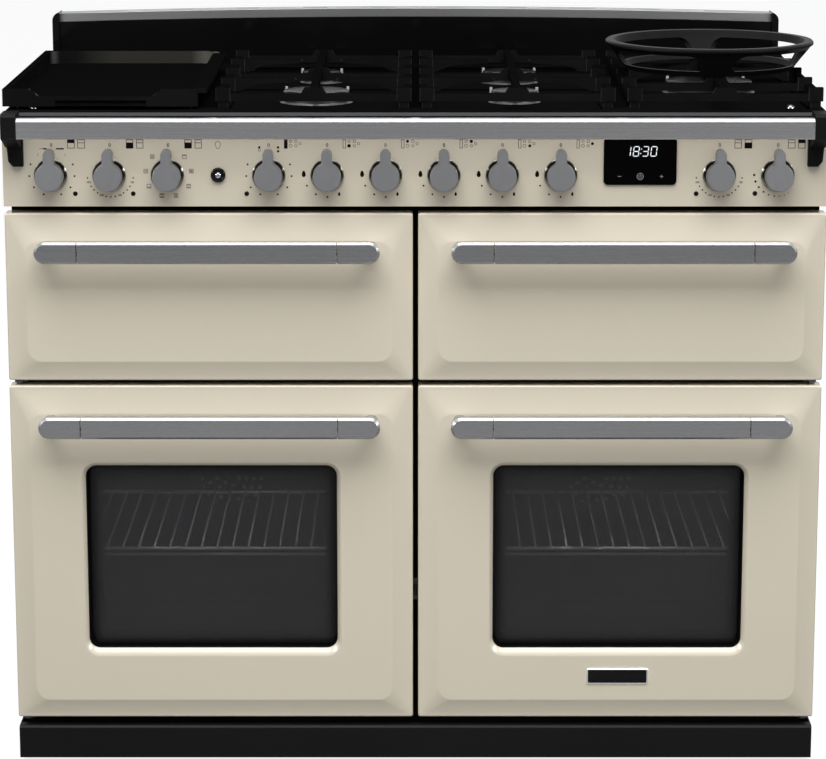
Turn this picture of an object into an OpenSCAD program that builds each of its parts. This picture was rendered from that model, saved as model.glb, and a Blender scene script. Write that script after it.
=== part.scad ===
// Dual fuel range cooker, 110 cm class, in millimetres.
// X runs along the width, Y runs from the front to the back, Z is up from the floor.
// The origin is on the floor, in the middle of the whole outline.

/* [Cabinet] */
// Width over the doors and drawer fronts
body_w = 1092; // [1086:1:1130]
// Depth from the door faces to the back panel
body_depth = 600; // [596:1:640]
// How far the chassis stands in from the door edges on each side
side_inset = 5; // [3:0.5:7]
// Thickness of folded sheet panels
sheet_t = 2; // [1.6:0.1:2.4]
// Gap between the two columns of fronts
centre_gap = 7; // [5:0.5:10]
// Height of the plinth above the floor
plinth_clear = 10; // [6:1:20]
// Height of the plinth board
plinth_h = 46; // [40:1:60]
// Depth of the plinth board
plinth_t = 18; // [14:1:24]
// Gap between the plinth and the oven doors
plinth_gap = 12; // [10:0.5:16]
// Gap between the oven doors and the upper fronts
front_gap = 7.5; // [6:0.5:10]
// Gap between the upper fronts and the control panel
fascia_gap = 9.5; // [6:0.5:14]

/* [Fronts] */
// Height of an oven door
door_h = 466; // [460:1:500]
// Height of an upper front
drawer_h = 227; // [220:1:250]
// Depth of a pressed front behind its edge
front_t = 30; // [26:1:34]
// Wall of a pressed front
front_wall = 2.5; // [2:0.1:4]
// Depth of the inner panel behind a pressed front
liner_t = 6; // [5:0.5:8]
// How far the inner panel stands in from the edge of the front
liner_inset = 14; // [13:0.5:20]
// How far the flange at the back of a front laps the inner panel
flange_lap = 8; // [5:0.5:12]
// Width of the sloping border of a front
bevel_w = 27; // [20:1:34]
// How far the middle of a front stands proud of its edge
bevel_d = 5; // [3:0.5:8]
// Corner radius of the raised middle of a front
field_r = 22; // [14:1:28]
// Corner radius at the outside of a front
edge_r = 3; // [2:0.5:6]
// Room between the fronts and the frame behind them
seal_gap = 4; // [3.5:0.1:6]
// Width of an oven window
window_w = 338; // [300:1:350]
// Height of an oven window
window_h = 257; // [220:1:270]
// Corner radius of an oven window
window_r = 14; // [8:1:20]
// How far the window centre lies below the door centre
window_drop = 7.5; // [0:0.5:12]
// Width of the sloping lip round a window
lip_w = 4; // [2:0.5:8]
// Depth of the window glass behind the door edge
glass_y = 20; // [16:0.5:22]
// Thickness of the door glass
glass_t = 4; // [3:0.5:5]
// How far the glass laps behind the window lip
glass_lap = 12; // [6:1:16]

/* [Handles] */
// Length of a handle
handle_len = 455; // [380:1:470]
// Height of the handle bar
handle_h = 29; // [22:1:32]
// Thickness of the handle bar, front to back
handle_t = 14; // [10:1:18]
// Distance from the door edge plane to the face of the handle
handle_reach = 50; // [44:1:54]
// Length of a handle end piece
handle_end = 56; // [44:1:70]
// Chamfer round the handle face
handle_bevel = 3; // [1:0.5:4]
// Height of a handle axis below the top of an oven door
door_handle_drop = 47.5; // [42:0.5:60]
// Height of a handle axis below the top of an upper front
drawer_handle_drop = 45.5; // [40:0.5:60]
// Gap that shows between a handle's bar and its end pieces
handle_joint = 1.2; // [0.8:0.1:2]

/* [Hinges and runners] */
// Distance of the hinge line from the outer edge of a door
hinge_in = 12; // [11:0.5:14]
// Distance of the hinge line in front of the back of the door
hinge_back = 18; // [17:0.5:20]
// Radius of a hinge pin
pin_r = 3; // [2:0.25:4]
// Length of a hinge pin inside the door
pin_len = 12; // [8:1:16]
// Thickness of a hinge plate
hinge_t = 3; // [2:0.5:3.5]
// Running clearance between a pin or spindle and its bore
fit = 0.05; // [0.03:0.01:0.1]
// Clearance between parts that seat on each other
seat = 0.3; // [0.2:0.05:0.5]
// Height of a runner channel
runner_h = 22; // [18:1:26]
// Width of a runner channel
runner_w = 12; // [10:1:15]

/* [Control panel] */
// Height of the control panel
fascia_h = 118; // [112:1:126]
// Height of the knob axes above the bottom of the control panel
knob_up = 42; // [38:0.5:50]
// Distance between neighbouring knobs
knob_pitch = 77.2; // [76:0.2:78]
// Distance of the first knob from the left end of the control panel
left_knob_in = 58.5; // [57:0.5:62]
// Distance of the last knob from the right end of the control panel
right_knob_in = 62; // [60:0.5:66]
// How far the row of middle knobs starts left of the panel's middle
mid_knobs_left = 194; // [190:1:200]
// Radius of a knob face
knob_r = 18.5; // [15:0.5:20]
// Reach of the knob pointer from the knob axis
pointer_len = 36.5; // [28:0.5:38]
// Width of the knob pointer
pointer_w = 14; // [10:0.5:18]
// Distance from the control panel to the knob face
knob_reach = 28; // [24:0.5:34]
// Radius of the bezel behind a knob
bezel_r = 21; // [19:0.5:23]
// Depth of a knob bezel
bezel_t = 6; // [4:0.5:8]
// Radius of a control spindle
spindle_r = 3; // [2:0.25:4]
// Radius of the bezel of the light button
light_bezel_r = 7.5; // [6.5:0.25:9]
// Radius of the light button
light_r = 4.75; // [3:0.25:5.5]
// Travel of the light button
light_travel = 2.5; // [1.5:0.5:3]
// Width of the clock glass
clock_w = 96.5; // [80:0.5:104]
// Height of the clock glass
clock_h = 63; // [50:0.5:70]
// Height of the clock centre above the bottom of the control panel
clock_up = 60.5; // [55:0.5:64]

/* [Handrail] */
// How far the brackets stand in from the ends of the control panel
bracket_in = 1.5; // [1:0.5:4]
// Height of the handrail
rail_h = 27; // [20:1:32]
// Depth of the handrail
rail_t = 20; // [14:1:22]
// Distance from the control panel to the front of the handrail
rail_reach = 60; // [54:1:66]
// Chamfer along the front edges of the handrail
rail_bevel = 4; // [2:0.5:6]
// Height of the handrail's bottom above the bottom of the control panel
rail_up = 97; // [94:0.5:100]
// Width of a handrail bracket
bracket_w = 20; // [16:1:21]

/* [Hob] */
// Depth of the rim of the hob tray
hob_t = 9; // [8:0.5:12]
// How far the hob overhangs the control panel
hob_front = 20; // [14:1:24]
// Room between the rear upstand and the face of the back panel
upstand_back = 6; // [4:1:12]
// Depth of the wells in the hob tray
well_d = 6; // [4:0.5:7]
// Distance from the door faces to the first row of the pan supports
row_start = 35; // [30:1:40]
// Distance from the last row of the pan supports to the rear upstand
row_end = 53; // [48:1:60]
// Height of the pan support tops above the hob
support_h = 27; // [24:1:32]
// Gap between two pan supports
support_gap = 10.5; // [8:0.5:16]
// Width of a pan support bar
bar_w = 10; // [9.5:0.5:12]
// Length of the raised block at each bar end
block_w = 20; // [16:1:24]
// Gap between a finger tip and the middle bar
finger_gap = 30; // [20:1:40]
// Radius of the front left burner
burner_1_r = 45; // [40:1:48]
// Radius of the rear left burner
burner_2_r = 27; // [24:1:32]
// Radius of the rear middle burner
burner_3_r = 38; // [32:1:42]
// Radius of the front middle burner
burner_4_r = 31; // [26:1:36]
// Radius of the wok burner
burner_5_r = 60; // [54:1:64]
// Height of a burner crown
crown_h = 9; // [7:0.5:10]
// Thickness of a burner cap
cap_t = 5; // [3:0.5:5]
// Width of a flame slot
flame_slot = 1.6; // [1:0.1:2]

/* [Wok ring and griddle] */
// Outer radius of the wok ring
wok_r = 145; // [138:1:145]
// Height of the wok ring
wok_h = 40; // [32:1:46]
// How far the griddle stands out past the side of the hob
griddle_over = 5; // [0:0.5:5]
// Radius of the wok ring where it stands
wok_foot_r = 116; // [108:1:120]
// Wall of the wok ring
wok_wall = 4; // [3:0.5:6]
// Width of each window in the wall of the wok ring
wok_window = 150; // [100:1:156]
// How much narrower the griddle is than its bay
griddle_gap = 0.5; // [0:0.5:4]
// How far the griddle reaches in front of the first row of the supports
griddle_front = 20; // [14:1:26]
// How far the griddle ends in front of the last row of the supports
griddle_end = 6; // [-10:1:20]
// Height of the griddle
griddle_h = 23; // [20:0.5:27]
// Height of the griddle feet
griddle_foot = 4; // [3:0.5:6]
// Wall of the griddle
griddle_wall = 8; // [6:0.5:10]
// How far the pouring lip drops at the front of the griddle
lip_drop = 10; // [6:0.5:11]

/* [Rear upstand] */
// Height of the upstand at its ends
upstand_h = 76; // [60:1:90]
// Rise of the arched top in the middle
arch_rise = 8; // [4:0.5:14]
// Depth of the upstand
upstand_t = 34; // [26:1:36]
// Height of the trim along the arch
trim_h = 13; // [8:0.5:18]

/* [Ovens] */
// Width of an oven cavity
cavity_w = 400; // [370:1:410]
// Height of an oven cavity
cavity_h = 400; // [370:1:406]
// Depth of an oven cavity
cavity_d = 420; // [400:1:440]
// Width of an upper cavity
upper_w = 452; // [430:1:460]
// Height of an upper cavity
upper_h = 186; // [170:1:192]
// Depth of an upper cavity
upper_d = 450; // [430:1:480]
// Length of the grill pan, front to back
pan_l = 330; // [300:5:370]
// Radius of the wire of the racks
rack_r = 2.5; // [2:0.1:3]
// Height of the lowest rack level above the oven floor
rack_first = 66; // [50:1:80]
// Distance between the rack levels
rack_pitch = 58; // [50:1:62]
// Number of rack levels
rack_levels = 5; // [3:1:5]
// Rack level that holds the shelf
shelf_level = 2; // [1:1:3]
// Number of wires across a shelf
shelf_wires = 17; // [9:2:21]
// Radius of an oven fan
fan_r = 62; // [50:1:68]
// Number of fan blades
fan_blades = 8; // [6:1:10]
// Radius of a heating element tube
element_r = 3.25; // [3:0.25:4]

/* [Hidden] */
$fn = 48;

// Outline of the cabinet
half_w = body_w / 2;
chassis_x = half_w - side_inset;
front_w = (body_w - centre_gap) / 2;
front_x = centre_gap / 2 + front_w / 2;
mid_y = (body_depth - rail_reach - 1) / 2;
bay_pitch = chassis_x / 2;
support_w = bay_pitch - support_gap;
wok_x = chassis_x - support_w / 2;
mid_x = (max(half_w, wok_x + wok_r) - half_w) / 2;

// Heights from the floor up
plinth_z0 = plinth_clear;
plinth_z1 = plinth_z0 + plinth_h;
door_z0 = plinth_z1 + plinth_gap;
door_z1 = door_z0 + door_h;
door_z = (door_z0 + door_z1) / 2;
drawer_z0 = door_z1 + front_gap;
drawer_z1 = drawer_z0 + drawer_h;
drawer_z = (drawer_z0 + drawer_z1) / 2;
fascia_z0 = drawer_z1 + fascia_gap;
fascia_z1 = fascia_z0 + fascia_h;
hob_z = fascia_z1 + hob_t;
well_z = hob_z - well_d;

// Depths from the door faces back
liner_y = front_t + liner_t;
frame_y = liner_y + seal_gap;
frame_t = 3;
cavity_y = frame_y + frame_t;
cavity_y1 = cavity_y + cavity_d;
upper_y1 = cavity_y + upper_d;
back_y = body_depth - sheet_t;

// Base frame and feet
base_z0 = plinth_z0 + 12;
base_back = 32;
base_y0 = plinth_t + base_back;
plinth_return = 60;
foot_inset = 45;
foot_r = 22;
foot_pad = 8;
stud_r = 5;
boss_r = 12;

side_flange = 22;

// Hinge line of the left door, mirrored for the right door
hinge_x = -(half_w - hinge_in);
hinge_y = liner_y - hinge_back;

// Oven and upper cavities
liner_wall = 1.5;
flange_w = 18;
cavity_r = 12;
upper_r = 8;
cover_y = cavity_y1 - 40;
cover_w = cavity_w - 90;
cover_h = cavity_h - 110;
motor_r = 38;
motor_l = 42;
motor_plate_w = 130;
shaft_r = 4;
hub_r = 12;
ring_r = fan_r + 16;
element_w = cavity_w - 100;

// Racks and shelves
rack_x = cavity_w / 2 - rack_r - seat;
rack_y0 = cavity_y + 30;
rack_y1 = cover_y - 20;
rack_gap = 18;
rail_x = rack_x - rack_r - 1;
shelf_in = rack_r + 1.2;

// Upper cavities: runner places
runner_z = drawer_z - 20;
runner_len = upper_d - 20;
runner_wall = 1.5;
slide_h = runner_h - 2 * runner_wall - 2 * seat;
slide_w = runner_w - runner_wall - 2 * seat;
carriage_x = upper_w / 2 - runner_w - 3;
web_h = 6;

// Control panel
knob_z = fascia_z0 + knob_up;
clock_z = fascia_z0 + clock_up;
knob_hub_r = 9;
panel_x = body_w / 2;
knob_back = bezel_t + 0.5;
spindle_end = 18;
light_stem = 12;
valve_d = 36;
function knob_x(i) = i < 3 ? -chassis_x + left_knob_in + i * knob_pitch
    : i < 9 ? -mid_knobs_left + (i - 3) * knob_pitch
    : chassis_x - right_knob_in + (i - 10) * knob_pitch;
light_x = (knob_x(2) + knob_x(3)) / 2;
clock_x = (knob_x(8) + knob_x(9)) / 2;

// Handrail
rail_z0 = fascia_z0 + rail_up;
rail_z1 = rail_z0 + rail_h;
bracket_x = chassis_x - bracket_in - bracket_w + seat;
rail_len = 2 * (bracket_x - seat);

// Hob bays, rows and burners: place and radius of each burner
hob_depth = body_depth - upstand_back - upstand_t;
row_pitch = (hob_depth - row_start - row_end) / 4;
griddle_w = bay_pitch - griddle_gap;
griddle_x = -(chassis_x + griddle_over) + griddle_w / 2;
bay_x = [griddle_x, -0.5 * bay_pitch, 0.5 * bay_pitch, wok_x];
function row_y(i) = row_start + i * row_pitch;
hob_x = chassis_x;
well_w = support_w - 2 * block_w + 4;
well_l = 4 * row_pitch + 44;
well_r = 14;
plate_w = griddle_w - 62;
tray_t = 3;
support_z = hob_z + support_h;
burners = [
    [bay_x[1], row_y(1), burner_1_r],
    [bay_x[1], row_y(3), burner_2_r],
    [bay_x[2], row_y(3), burner_3_r],
    [bay_x[2], row_y(1), burner_4_r],
    [bay_x[3], row_y(2), burner_5_r]];
burner_flange = 2;
cup_h = 14;
cap_z = well_z + burner_flange + crown_h;

// Rear upstand: end caps and the steps of its arched outline
upstand_z = hob_z + upstand_h;
cap_w = 10;
cap_proud = 8;
cap_over = 2;
cap_corner = 12;
arch_x = hob_x - cap_w;
arch_steps = 16;

// Gas inlet at the back
inlet_x = chassis_x - 42;
inlet_z = fascia_z0 + 62;
inlet_r = 9.3;
inlet_len = 15;
inlet_boss = 14;
rail_pipe_r = 8;
rail_pipe_y = sheet_t + valve_d + 12;

// Everything is drawn with the door faces at Y = 0 and the centre gap at X = 0, and then centred
module placed() translate([-mid_x, -mid_y, 0]) children();

// A block between two corners, each given as a pair of limits
module block(x, y, z) translate([x[0], y[0], z[0]]) cube([x[1] - x[0], y[1] - y[0], z[1] - z[0]]);

// An outline in Y and Z, drawn out along X
module along_x(x) translate([x[0], 0, 0]) rotate([90, 0, 90]) linear_extrude(x[1] - x[0]) children();

// An outline in X and Z, drawn out along Y
module along_y(y) translate([0, y[1], 0]) rotate([90, 0, 0]) linear_extrude(y[1] - y[0]) children();

// An outline in X and Y, drawn out along Z
module along_z(z) translate([0, 0, z[0]]) linear_extrude(z[1] - z[0]) children();

module rod_x(x, y, z, r) translate([x[0], y, z]) rotate([0, 90, 0]) cylinder(r = r, h = x[1] - x[0]);
module rod_y(x, y, z, r) translate([x, y[1], z]) rotate([90, 0, 0]) cylinder(r = r, h = y[1] - y[0]);
module rod_z(x, y, z, r) translate([x, y, z[0]]) cylinder(r = r, h = z[1] - z[0]);

// What is drawn for the left side, or its mirror image for the right side
module on_side(s) {
    if (s < 0) children();
    else mirror([1, 0, 0]) children();
}

module rounded(w, h, r) {
    square([w - 2 * r, h], center = true);
    square([w, h - 2 * r], center = true);
    for (sx = [-1, 1], sz = [-1, 1])
        translate([sx * (w / 2 - r), sz * (h / 2 - r)]) circle(r);
}

// Two straight slabs joined by a slope, used for pressed forms
module sloped(w0, h0, r0, y0, w1, h1, r1, y1) {
    hull() {
        along_y(y0) rounded(w0, h0, r0, $fn = 32);
        along_y(y1) rounded(w1, h1, r1, $fn = 32);
    }
}

// The chassis

module base_frame() placed() color("#2b2b2c") {
    difference() {
        union() {
            difference() {
                block([-chassis_x, chassis_x], [base_y0, back_y], [base_z0, plinth_z1]);
                block([-chassis_x + sheet_t, chassis_x - sheet_t], [base_y0 + sheet_t, back_y - sheet_t],
                    [base_z0 - 1, plinth_z1 - sheet_t]);
            }
            for (x = [-front_x, 0, front_x])
                block([x - 15, x + 15], [base_y0 + sheet_t, back_y - sheet_t], [base_z0, base_z0 + sheet_t]);
            foot_places() cylinder(r = boss_r, h = plinth_z1 - base_z0);
        }
        foot_places() translate([0, 0, -1]) cylinder(r = stud_r + fit, h = plinth_z1 - base_z0 - sheet_t + 1);
    }
}

module foot_places() {
    for (sx = [-1, 1], y = [base_y0 + foot_inset, back_y - foot_inset])
        translate([sx * (chassis_x - foot_inset), y, base_z0]) children();
}

module levelling_feet() placed() color("#3a3a3a") {
    foot_places() translate([0, 0, -base_z0]) {
        cylinder(r1 = foot_r, r2 = foot_r - 2, h = foot_pad);
        translate([0, 0, foot_pad]) cylinder(r = 9, h = base_z0 - foot_pad - seat, $fn = 6);
        cylinder(r = stud_r, h = plinth_z1 - sheet_t - 4);
    }
}

// Folded board with a rolled top edge and a return at each end
module plinth() placed() color("#1a1a1b") {
    difference() {
        union() {
            along_x([-half_w + 1, half_w - 1])
                polygon([[0, plinth_z0], [plinth_t, plinth_z0], [plinth_t, plinth_z1],
                    [3, plinth_z1], [0, plinth_z1 - 3]]);
            for (s = [-1, 1]) on_side(s)
                block([-half_w + 1, -half_w + 1 + sheet_t], [plinth_t - 1, base_y0 + plinth_return], [plinth_z0, plinth_z1]);
        }
        block([-half_w + 1 + sheet_t, half_w - 1 - sheet_t], [sheet_t, plinth_t + 1],
            [plinth_z0 - 1, plinth_z1 - sheet_t]);
    }
    for (x = [-front_x, front_x])
        block([x - 12, x + 12], [sheet_t, base_y0], [plinth_z0 + 16, plinth_z0 + 16 + sheet_t]);
}

module side_panels() placed() color("#1c1c1d") {
    for (s = [-1, 1]) on_side(s) difference() {
        block([-chassis_x, -chassis_x + side_flange], [frame_y + frame_t, back_y], [plinth_z1, fascia_z1]);
        block([-chassis_x + sheet_t, -chassis_x + side_flange + 1],
            [frame_y + frame_t + sheet_t, back_y - sheet_t], [plinth_z1 - 1, fascia_z1 + 1]);
        block([-chassis_x + 14, -chassis_x + side_flange + 1], [frame_y, frame_y + frame_t + sheet_t + 1],
            [plinth_z1 - 1, fascia_z1 + 1]);
    }
}

module back_panel() placed() color("#8b8d90") {
    difference() {
        block([-chassis_x, chassis_x], [back_y, body_depth], [base_z0, hob_z - hob_t]);
        for (sx = [-1, 1], row = [0:1], i = [0:9])
            translate([sx * front_x + (i - 4.5) * 34, 0, door_z + (row == 0 ? -60 : 90)])
                along_y([back_y - 1, body_depth + 1]) rounded(9, 60, 4);
        rod_y(inlet_x, [back_y - 1, body_depth + 1], inlet_z, inlet_boss + seat + 1);
        rod_y(-inlet_x, [back_y - 1, body_depth + 1], inlet_z, 11);
    }
    // Gland where the mains lead comes in
    difference() {
        rod_y(-inlet_x, [back_y - 12, body_depth], inlet_z, 11);
        rod_y(-inlet_x, [back_y - 13, body_depth + 1], inlet_z, 6.5);
    }
}

// Three posts between two rails, on both sides of the mouths of one row
module posts(w, h, z) {
    inner = front_x - w / 2;
    outer = front_x + w / 2;
    for (x = [[-chassis_x, -outer], [-inner, inner], [outer, chassis_x]])
        block(x, [frame_y, cavity_y], [z - h / 2 + seat, z + h / 2 - seat]);
}

// Welded frame: a rail over the plinth, one between the rows and one at the top, with posts between them
module front_frame() placed() color("#161617") {
    for (z = [[plinth_z1, door_z - cavity_h / 2], [door_z + cavity_h / 2, drawer_z - upper_h / 2],
            [drawer_z + upper_h / 2, fascia_z0 + 14]])
        block([-chassis_x, chassis_x], [frame_y, cavity_y], z);
    posts(cavity_w, cavity_h, door_z);
    posts(upper_w, upper_h, drawer_z);
}

// The ovens

module cavity(w, h, d, r) {
    difference() {
        union() {
            along_y([cavity_y, cavity_y + liner_wall]) rounded(w + 2 * flange_w, h + 2 * flange_w, r);
            along_y([cavity_y, cavity_y + d + liner_wall])
                rounded(w + 2 * liner_wall, h + 2 * liner_wall, r + liner_wall);
        }
        along_y([cavity_y - 1, cavity_y + d]) rounded(w, h, r);
    }
}

module oven_liners() placed() color("#4a4c4f") {
    for (sx = [-1, 1]) translate([sx * front_x, 0, door_z]) difference() {
        cavity(cavity_w, cavity_h, cavity_d, cavity_r);
        rod_y(0, [cavity_y1 - 1, cavity_y1 + liner_wall + 1], 0, shaft_r + 3);
    }
}

module upper_liners() placed() color("#4a4c4f") {
    for (sx = [-1, 1]) translate([sx * front_x, 0, drawer_z])
        cavity(upper_w, upper_h, upper_d, upper_r);
}

// Side ladder of one wall: two flat uprights that carry pairs of rails
module side_rack() {
    for (y = [rack_y0 + 30, rack_y1 - 30])
        block([-cavity_w / 2 + seat, -rack_x + 3], [y - rack_r, y + rack_r],
            [-cavity_h / 2 + rack_first - 24, cavity_h / 2 - 40]);
    for (i = [0 : rack_levels - 1], dz = [0, rack_gap])
        rod_y(-rail_x, [rack_y0, rack_y1], -cavity_h / 2 + rack_first + i * rack_pitch + dz, rack_r);
}

// Wire shelf that rests on one pair of rails
module shelf() {
    side = rail_x - shelf_in;
    reach = 2 * rack_r + seat;
    z = -cavity_h / 2 + rack_first + shelf_level * rack_pitch + sqrt(reach * reach - shelf_in * shelf_in);
    for (sx = [-1, 1]) rod_y(sx * side, [rack_y0 + 6, rack_y1 - 6], z, rack_r);
    for (y = [rack_y0 + 6, rack_y1 - 6]) rod_x([-side, side], y, z, rack_r);
    rod_x([-side, side], rack_y0 + 6, z - 8, rack_r - 0.5);
    for (sx = [-1, 1]) rod_z(sx * (side - 30), rack_y0 + 6, [z - 8, z], rack_r - 0.5);
    for (i = [0 : shelf_wires - 1])
        rod_y(-side + 16 + i * (2 * side - 32) / (shelf_wires - 1), [rack_y0 + 4, rack_y1 - 4], z + rack_r, 1.5);
}

module oven_racks() placed() color("#c9ccce") {
    for (sx = [-1, 1]) translate([sx * front_x, 0, door_z]) {
        side_rack();
        mirror([1, 0, 0]) side_rack();
        shelf();
    }
}

// Baffle in front of the fan, with a round grille in its middle
module fan_covers() placed() color("#5a5c5f") {
    for (sx = [-1, 1]) translate([sx * front_x, 0, door_z]) {
        difference() {
            along_y([cover_y, cover_y + 12]) rounded(cover_w, cover_h, 16);
            along_y([cover_y + liner_wall, cover_y + 13])
                rounded(cover_w - 2 * liner_wall, cover_h - 2 * liner_wall, 15);
            for (ring = [1 : 4], i = [0 : 5 * ring - 1])
                rotate([0, i * 360 / (5 * ring), 0])
                    rod_y(ring * 11, [cover_y - 1, cover_y + 3], 0, 3.2);
            for (sz = [-1, 1], i = [-4 : 4])
                translate([i * 30, 0, sz * (cover_h / 2 - 24)])
                    along_y([cover_y - 1, cover_y + 3]) rounded(20, 6, 2.5);
        }
        for (cx = [-1, 1], cz = [-1, 1])
            rod_y(cx * (cover_w / 2 - 14), [cover_y, cavity_y1], cz * (cover_h / 2 - 14), 5);
    }
}

module fan_motors() placed() color("#9a9ca0") {
    for (sx = [-1, 1]) translate([sx * front_x, 0, door_z]) difference() {
        union() {
            rod_y(0, [cavity_y1 + liner_wall, cavity_y1 + liner_wall + motor_l], 0, motor_r - 8);
            along_y([cavity_y1 + liner_wall, cavity_y1 + liner_wall + 2]) rounded(motor_plate_w, 34, 6);
            rod_y(0, [cavity_y1 + liner_wall + 12, cavity_y1 + liner_wall + motor_l - 10], 0, motor_r);
        }
        rod_y(0, [cavity_y1, cavity_y1 + liner_wall + motor_l - 12], 0, shaft_r + fit);
    }
}

// A fan on its shaft; the shaft runs in the motor behind the oven wall
module fan(sx) {
    blade_y = cover_y + 8;
    translate([sx * front_x, 0, door_z]) {
        rod_y(0, [blade_y, cavity_y1 + liner_wall + motor_l - 16], 0, shaft_r);
        along_y([blade_y, blade_y + 14]) {
            circle(hub_r);
            for (i = [0 : fan_blades - 1]) rotate(i * 360 / fan_blades)
                polygon([[hub_r - 2, -1], [fan_r - 12, 5], [fan_r, 12],
                    [fan_r - 1, 13.5], [fan_r - 13, 6.8], [hub_r - 2, 1]]);
        }
        rod_y(0, [blade_y + 14, blade_y + 16], 0, fan_r - 14);
    }
}

// Tube that runs to and fro across the width, in one flat layer
module serpentine(w, pitch, turns, z, y0) {
    bend = pitch / 2;
    for (i = [0 : turns])
        rod_x([-w / 2 + bend, w / 2 - bend], y0 + i * pitch, z, element_r);
    for (i = [0 : turns - 1])
        translate([(i % 2 == 0 ? 1 : -1) * (w / 2 - bend), y0 + i * pitch + bend, z])
            rotate([0, 0, i % 2 == 0 ? -90 : 90])
                rotate_extrude(angle = 180) translate([bend, 0]) circle(element_r, $fn = 24);
}

module heating_elements() placed() color("#6d6a66") {
    // Ring round each fan with its two legs through the back wall
    for (sx = [-1, 1]) translate([sx * front_x, 0, door_z]) {
        translate([0, cover_y + 20, 0]) rotate([90, 0, 0])
            rotate_extrude() translate([ring_r, 0]) circle(element_r, $fn = 24);
        for (dx = [-14, 14])
            rod_y(dx, [cover_y + 20, cavity_y1], -sqrt(ring_r * ring_r - 14 * 14), element_r - 0.3);
    }
    // Top element of the left oven
    translate([-front_x, 0, door_z]) {
        serpentine(element_w, 44, 5, cavity_h / 2 - 14, cavity_y + 60);
        for (x = [-90, 90], y = [cavity_y + 60, cavity_y + 60 + 5 * 44])
            rod_z(x, y, [cavity_h / 2 - 14, cavity_h / 2], element_r - 1);
    }
    // Two elements of the grill
    translate([-front_x, 0, drawer_z]) for (sx = [-1, 1]) {
        translate([sx * 100, 0, 0]) serpentine(170, 36, 7, upper_h / 2 - 14, cavity_y + 60);
        for (y = [cavity_y + 60, cavity_y + 60 + 7 * 36])
            rod_z(sx * 100, y, [upper_h / 2 - 14, upper_h / 2], element_r - 1);
    }
    // Flat element under the tray of the warming drawer
    translate([front_x, 0, drawer_z]) {
        serpentine(element_w, 60, 5, -upper_h / 2 + 8, cavity_y + 60);
        for (x = [-90, 90], y = [cavity_y + 60, cavity_y + 60 + 5 * 60])
            rod_z(x, y, [-upper_h / 2, -upper_h / 2 + 8], element_r - 1);
    }
}

module door_seals() placed() color("#3b3b3c") {
    for (sx = [-1, 1]) translate([sx * front_x, 0, door_z]) along_y([liner_y + seat, frame_y])
        difference() {
            rounded(cavity_w + 18, cavity_h + 18, cavity_r + 9);
            rounded(cavity_w + 4, cavity_h + 4, cavity_r + 2);
        }
}

// Hinge plates with their pins, the fixed runners and the door catch
module hinges_and_runners() placed() color("#b9bbbd") {
    for (s = [-1, 1]) on_side(s) {
        hinge_plate(door_z1 + (front_gap - hinge_t) / 2, -1);
        hinge_plate(door_z0 - (front_gap + hinge_t) / 2, 1);
    }
    for (sx = [-1, 1], s = [-1, 1]) translate([sx * front_x, 0, 0]) on_side(s)
        difference() {
            block([-upper_w / 2, -upper_w / 2 + runner_w], [cavity_y + 4, cavity_y + runner_len],
                [runner_z - runner_h / 2, runner_z + runner_h / 2]);
            block([-upper_w / 2 + runner_wall, -upper_w / 2 + runner_w + 1], [cavity_y + 3, cavity_y + runner_len + 1],
                [runner_z - runner_h / 2 + runner_wall, runner_z + runner_h / 2 - runner_wall]);
        }
    // Catch in the gap between the two doors
    block([-6, 6], [frame_y - 3, frame_y], [door_z - 75, door_z - 45]);
    rod_z(0, frame_y - 5, [door_z - 68, door_z - 52], 2.6);
}

module hinge_plate(z, up) {
    x0 = -chassis_x + 1;
    block([x0, x0 + 22], [frame_y - 3, frame_y], [z - (up > 0 ? 3 : 0), z + hinge_t + (up > 0 ? 0 : 3)]);
    along_z([z, z + hinge_t]) {
        translate([x0, hinge_y]) square([16, frame_y - hinge_y]);
        translate([hinge_x, hinge_y]) circle(6);
    }
    rod_z(hinge_x, hinge_y, up > 0 ? [z, z + hinge_t + pin_len] : [z - pin_len, z + hinge_t], pin_r);
}

// The fronts

module pressed_front(h) {
    sloped(front_w, h, edge_r, [0, 2], front_w - 2 * bevel_w, h - 2 * bevel_w, field_r, [-bevel_d, 0]);
    along_y([0, front_t]) rounded(front_w, h, edge_r);
}

// Hollow behind the face of a front; a flange is left that the inner panel stands on
module front_hollow(h) {
    w = front_w - 2 * front_wall;
    lap = liner_inset + flange_lap;
    along_y([front_wall, front_t - sheet_t]) rounded(w, h - 2 * front_wall, edge_r);
    along_y([front_wall, front_t + 1]) rounded(front_w - 2 * lap, h - 2 * lap, edge_r);
    sloped(w, h - 2 * front_wall, edge_r, [front_wall, front_wall + 1],
        front_w - 2 * bevel_w, h - 2 * bevel_w, field_r, [front_wall - bevel_d, front_wall]);
}

// Left door, drawn round its own centre
module door_panel() {
    x = -front_w / 2 + hinge_in;
    difference() {
        pressed_front(door_h);
        difference() {
            front_hollow(door_h);
            translate([0, 0, -window_drop]) along_y([-bevel_d, glass_y])
                rounded(window_w + 2 * lip_w + 10, window_h + 2 * lip_w + 10, window_r + lip_w + 5);
            for (sz = [-1, 1])
                rod_z(x, hinge_y, [sz * (door_h / 2 - (pin_len + 8) / 2) - (pin_len + 8) / 2,
                    sz * (door_h / 2 - (pin_len + 8) / 2) + (pin_len + 8) / 2], pin_r + 4);
        }
        translate([0, 0, -window_drop])
            sloped(window_w + 2 * lip_w, window_h + 2 * lip_w, window_r + lip_w, [-bevel_d - 1, -bevel_d],
                window_w, window_h, window_r, [glass_y, glass_y + 1]);
        for (sz = [-1, 1])
            rod_z(x, hinge_y, sz > 0 ? [door_h / 2 - pin_len - 1, door_h / 2 + 1]
                : [-door_h / 2 - 1, -door_h / 2 + pin_len + 1], pin_r + fit);
    }
}

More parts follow.
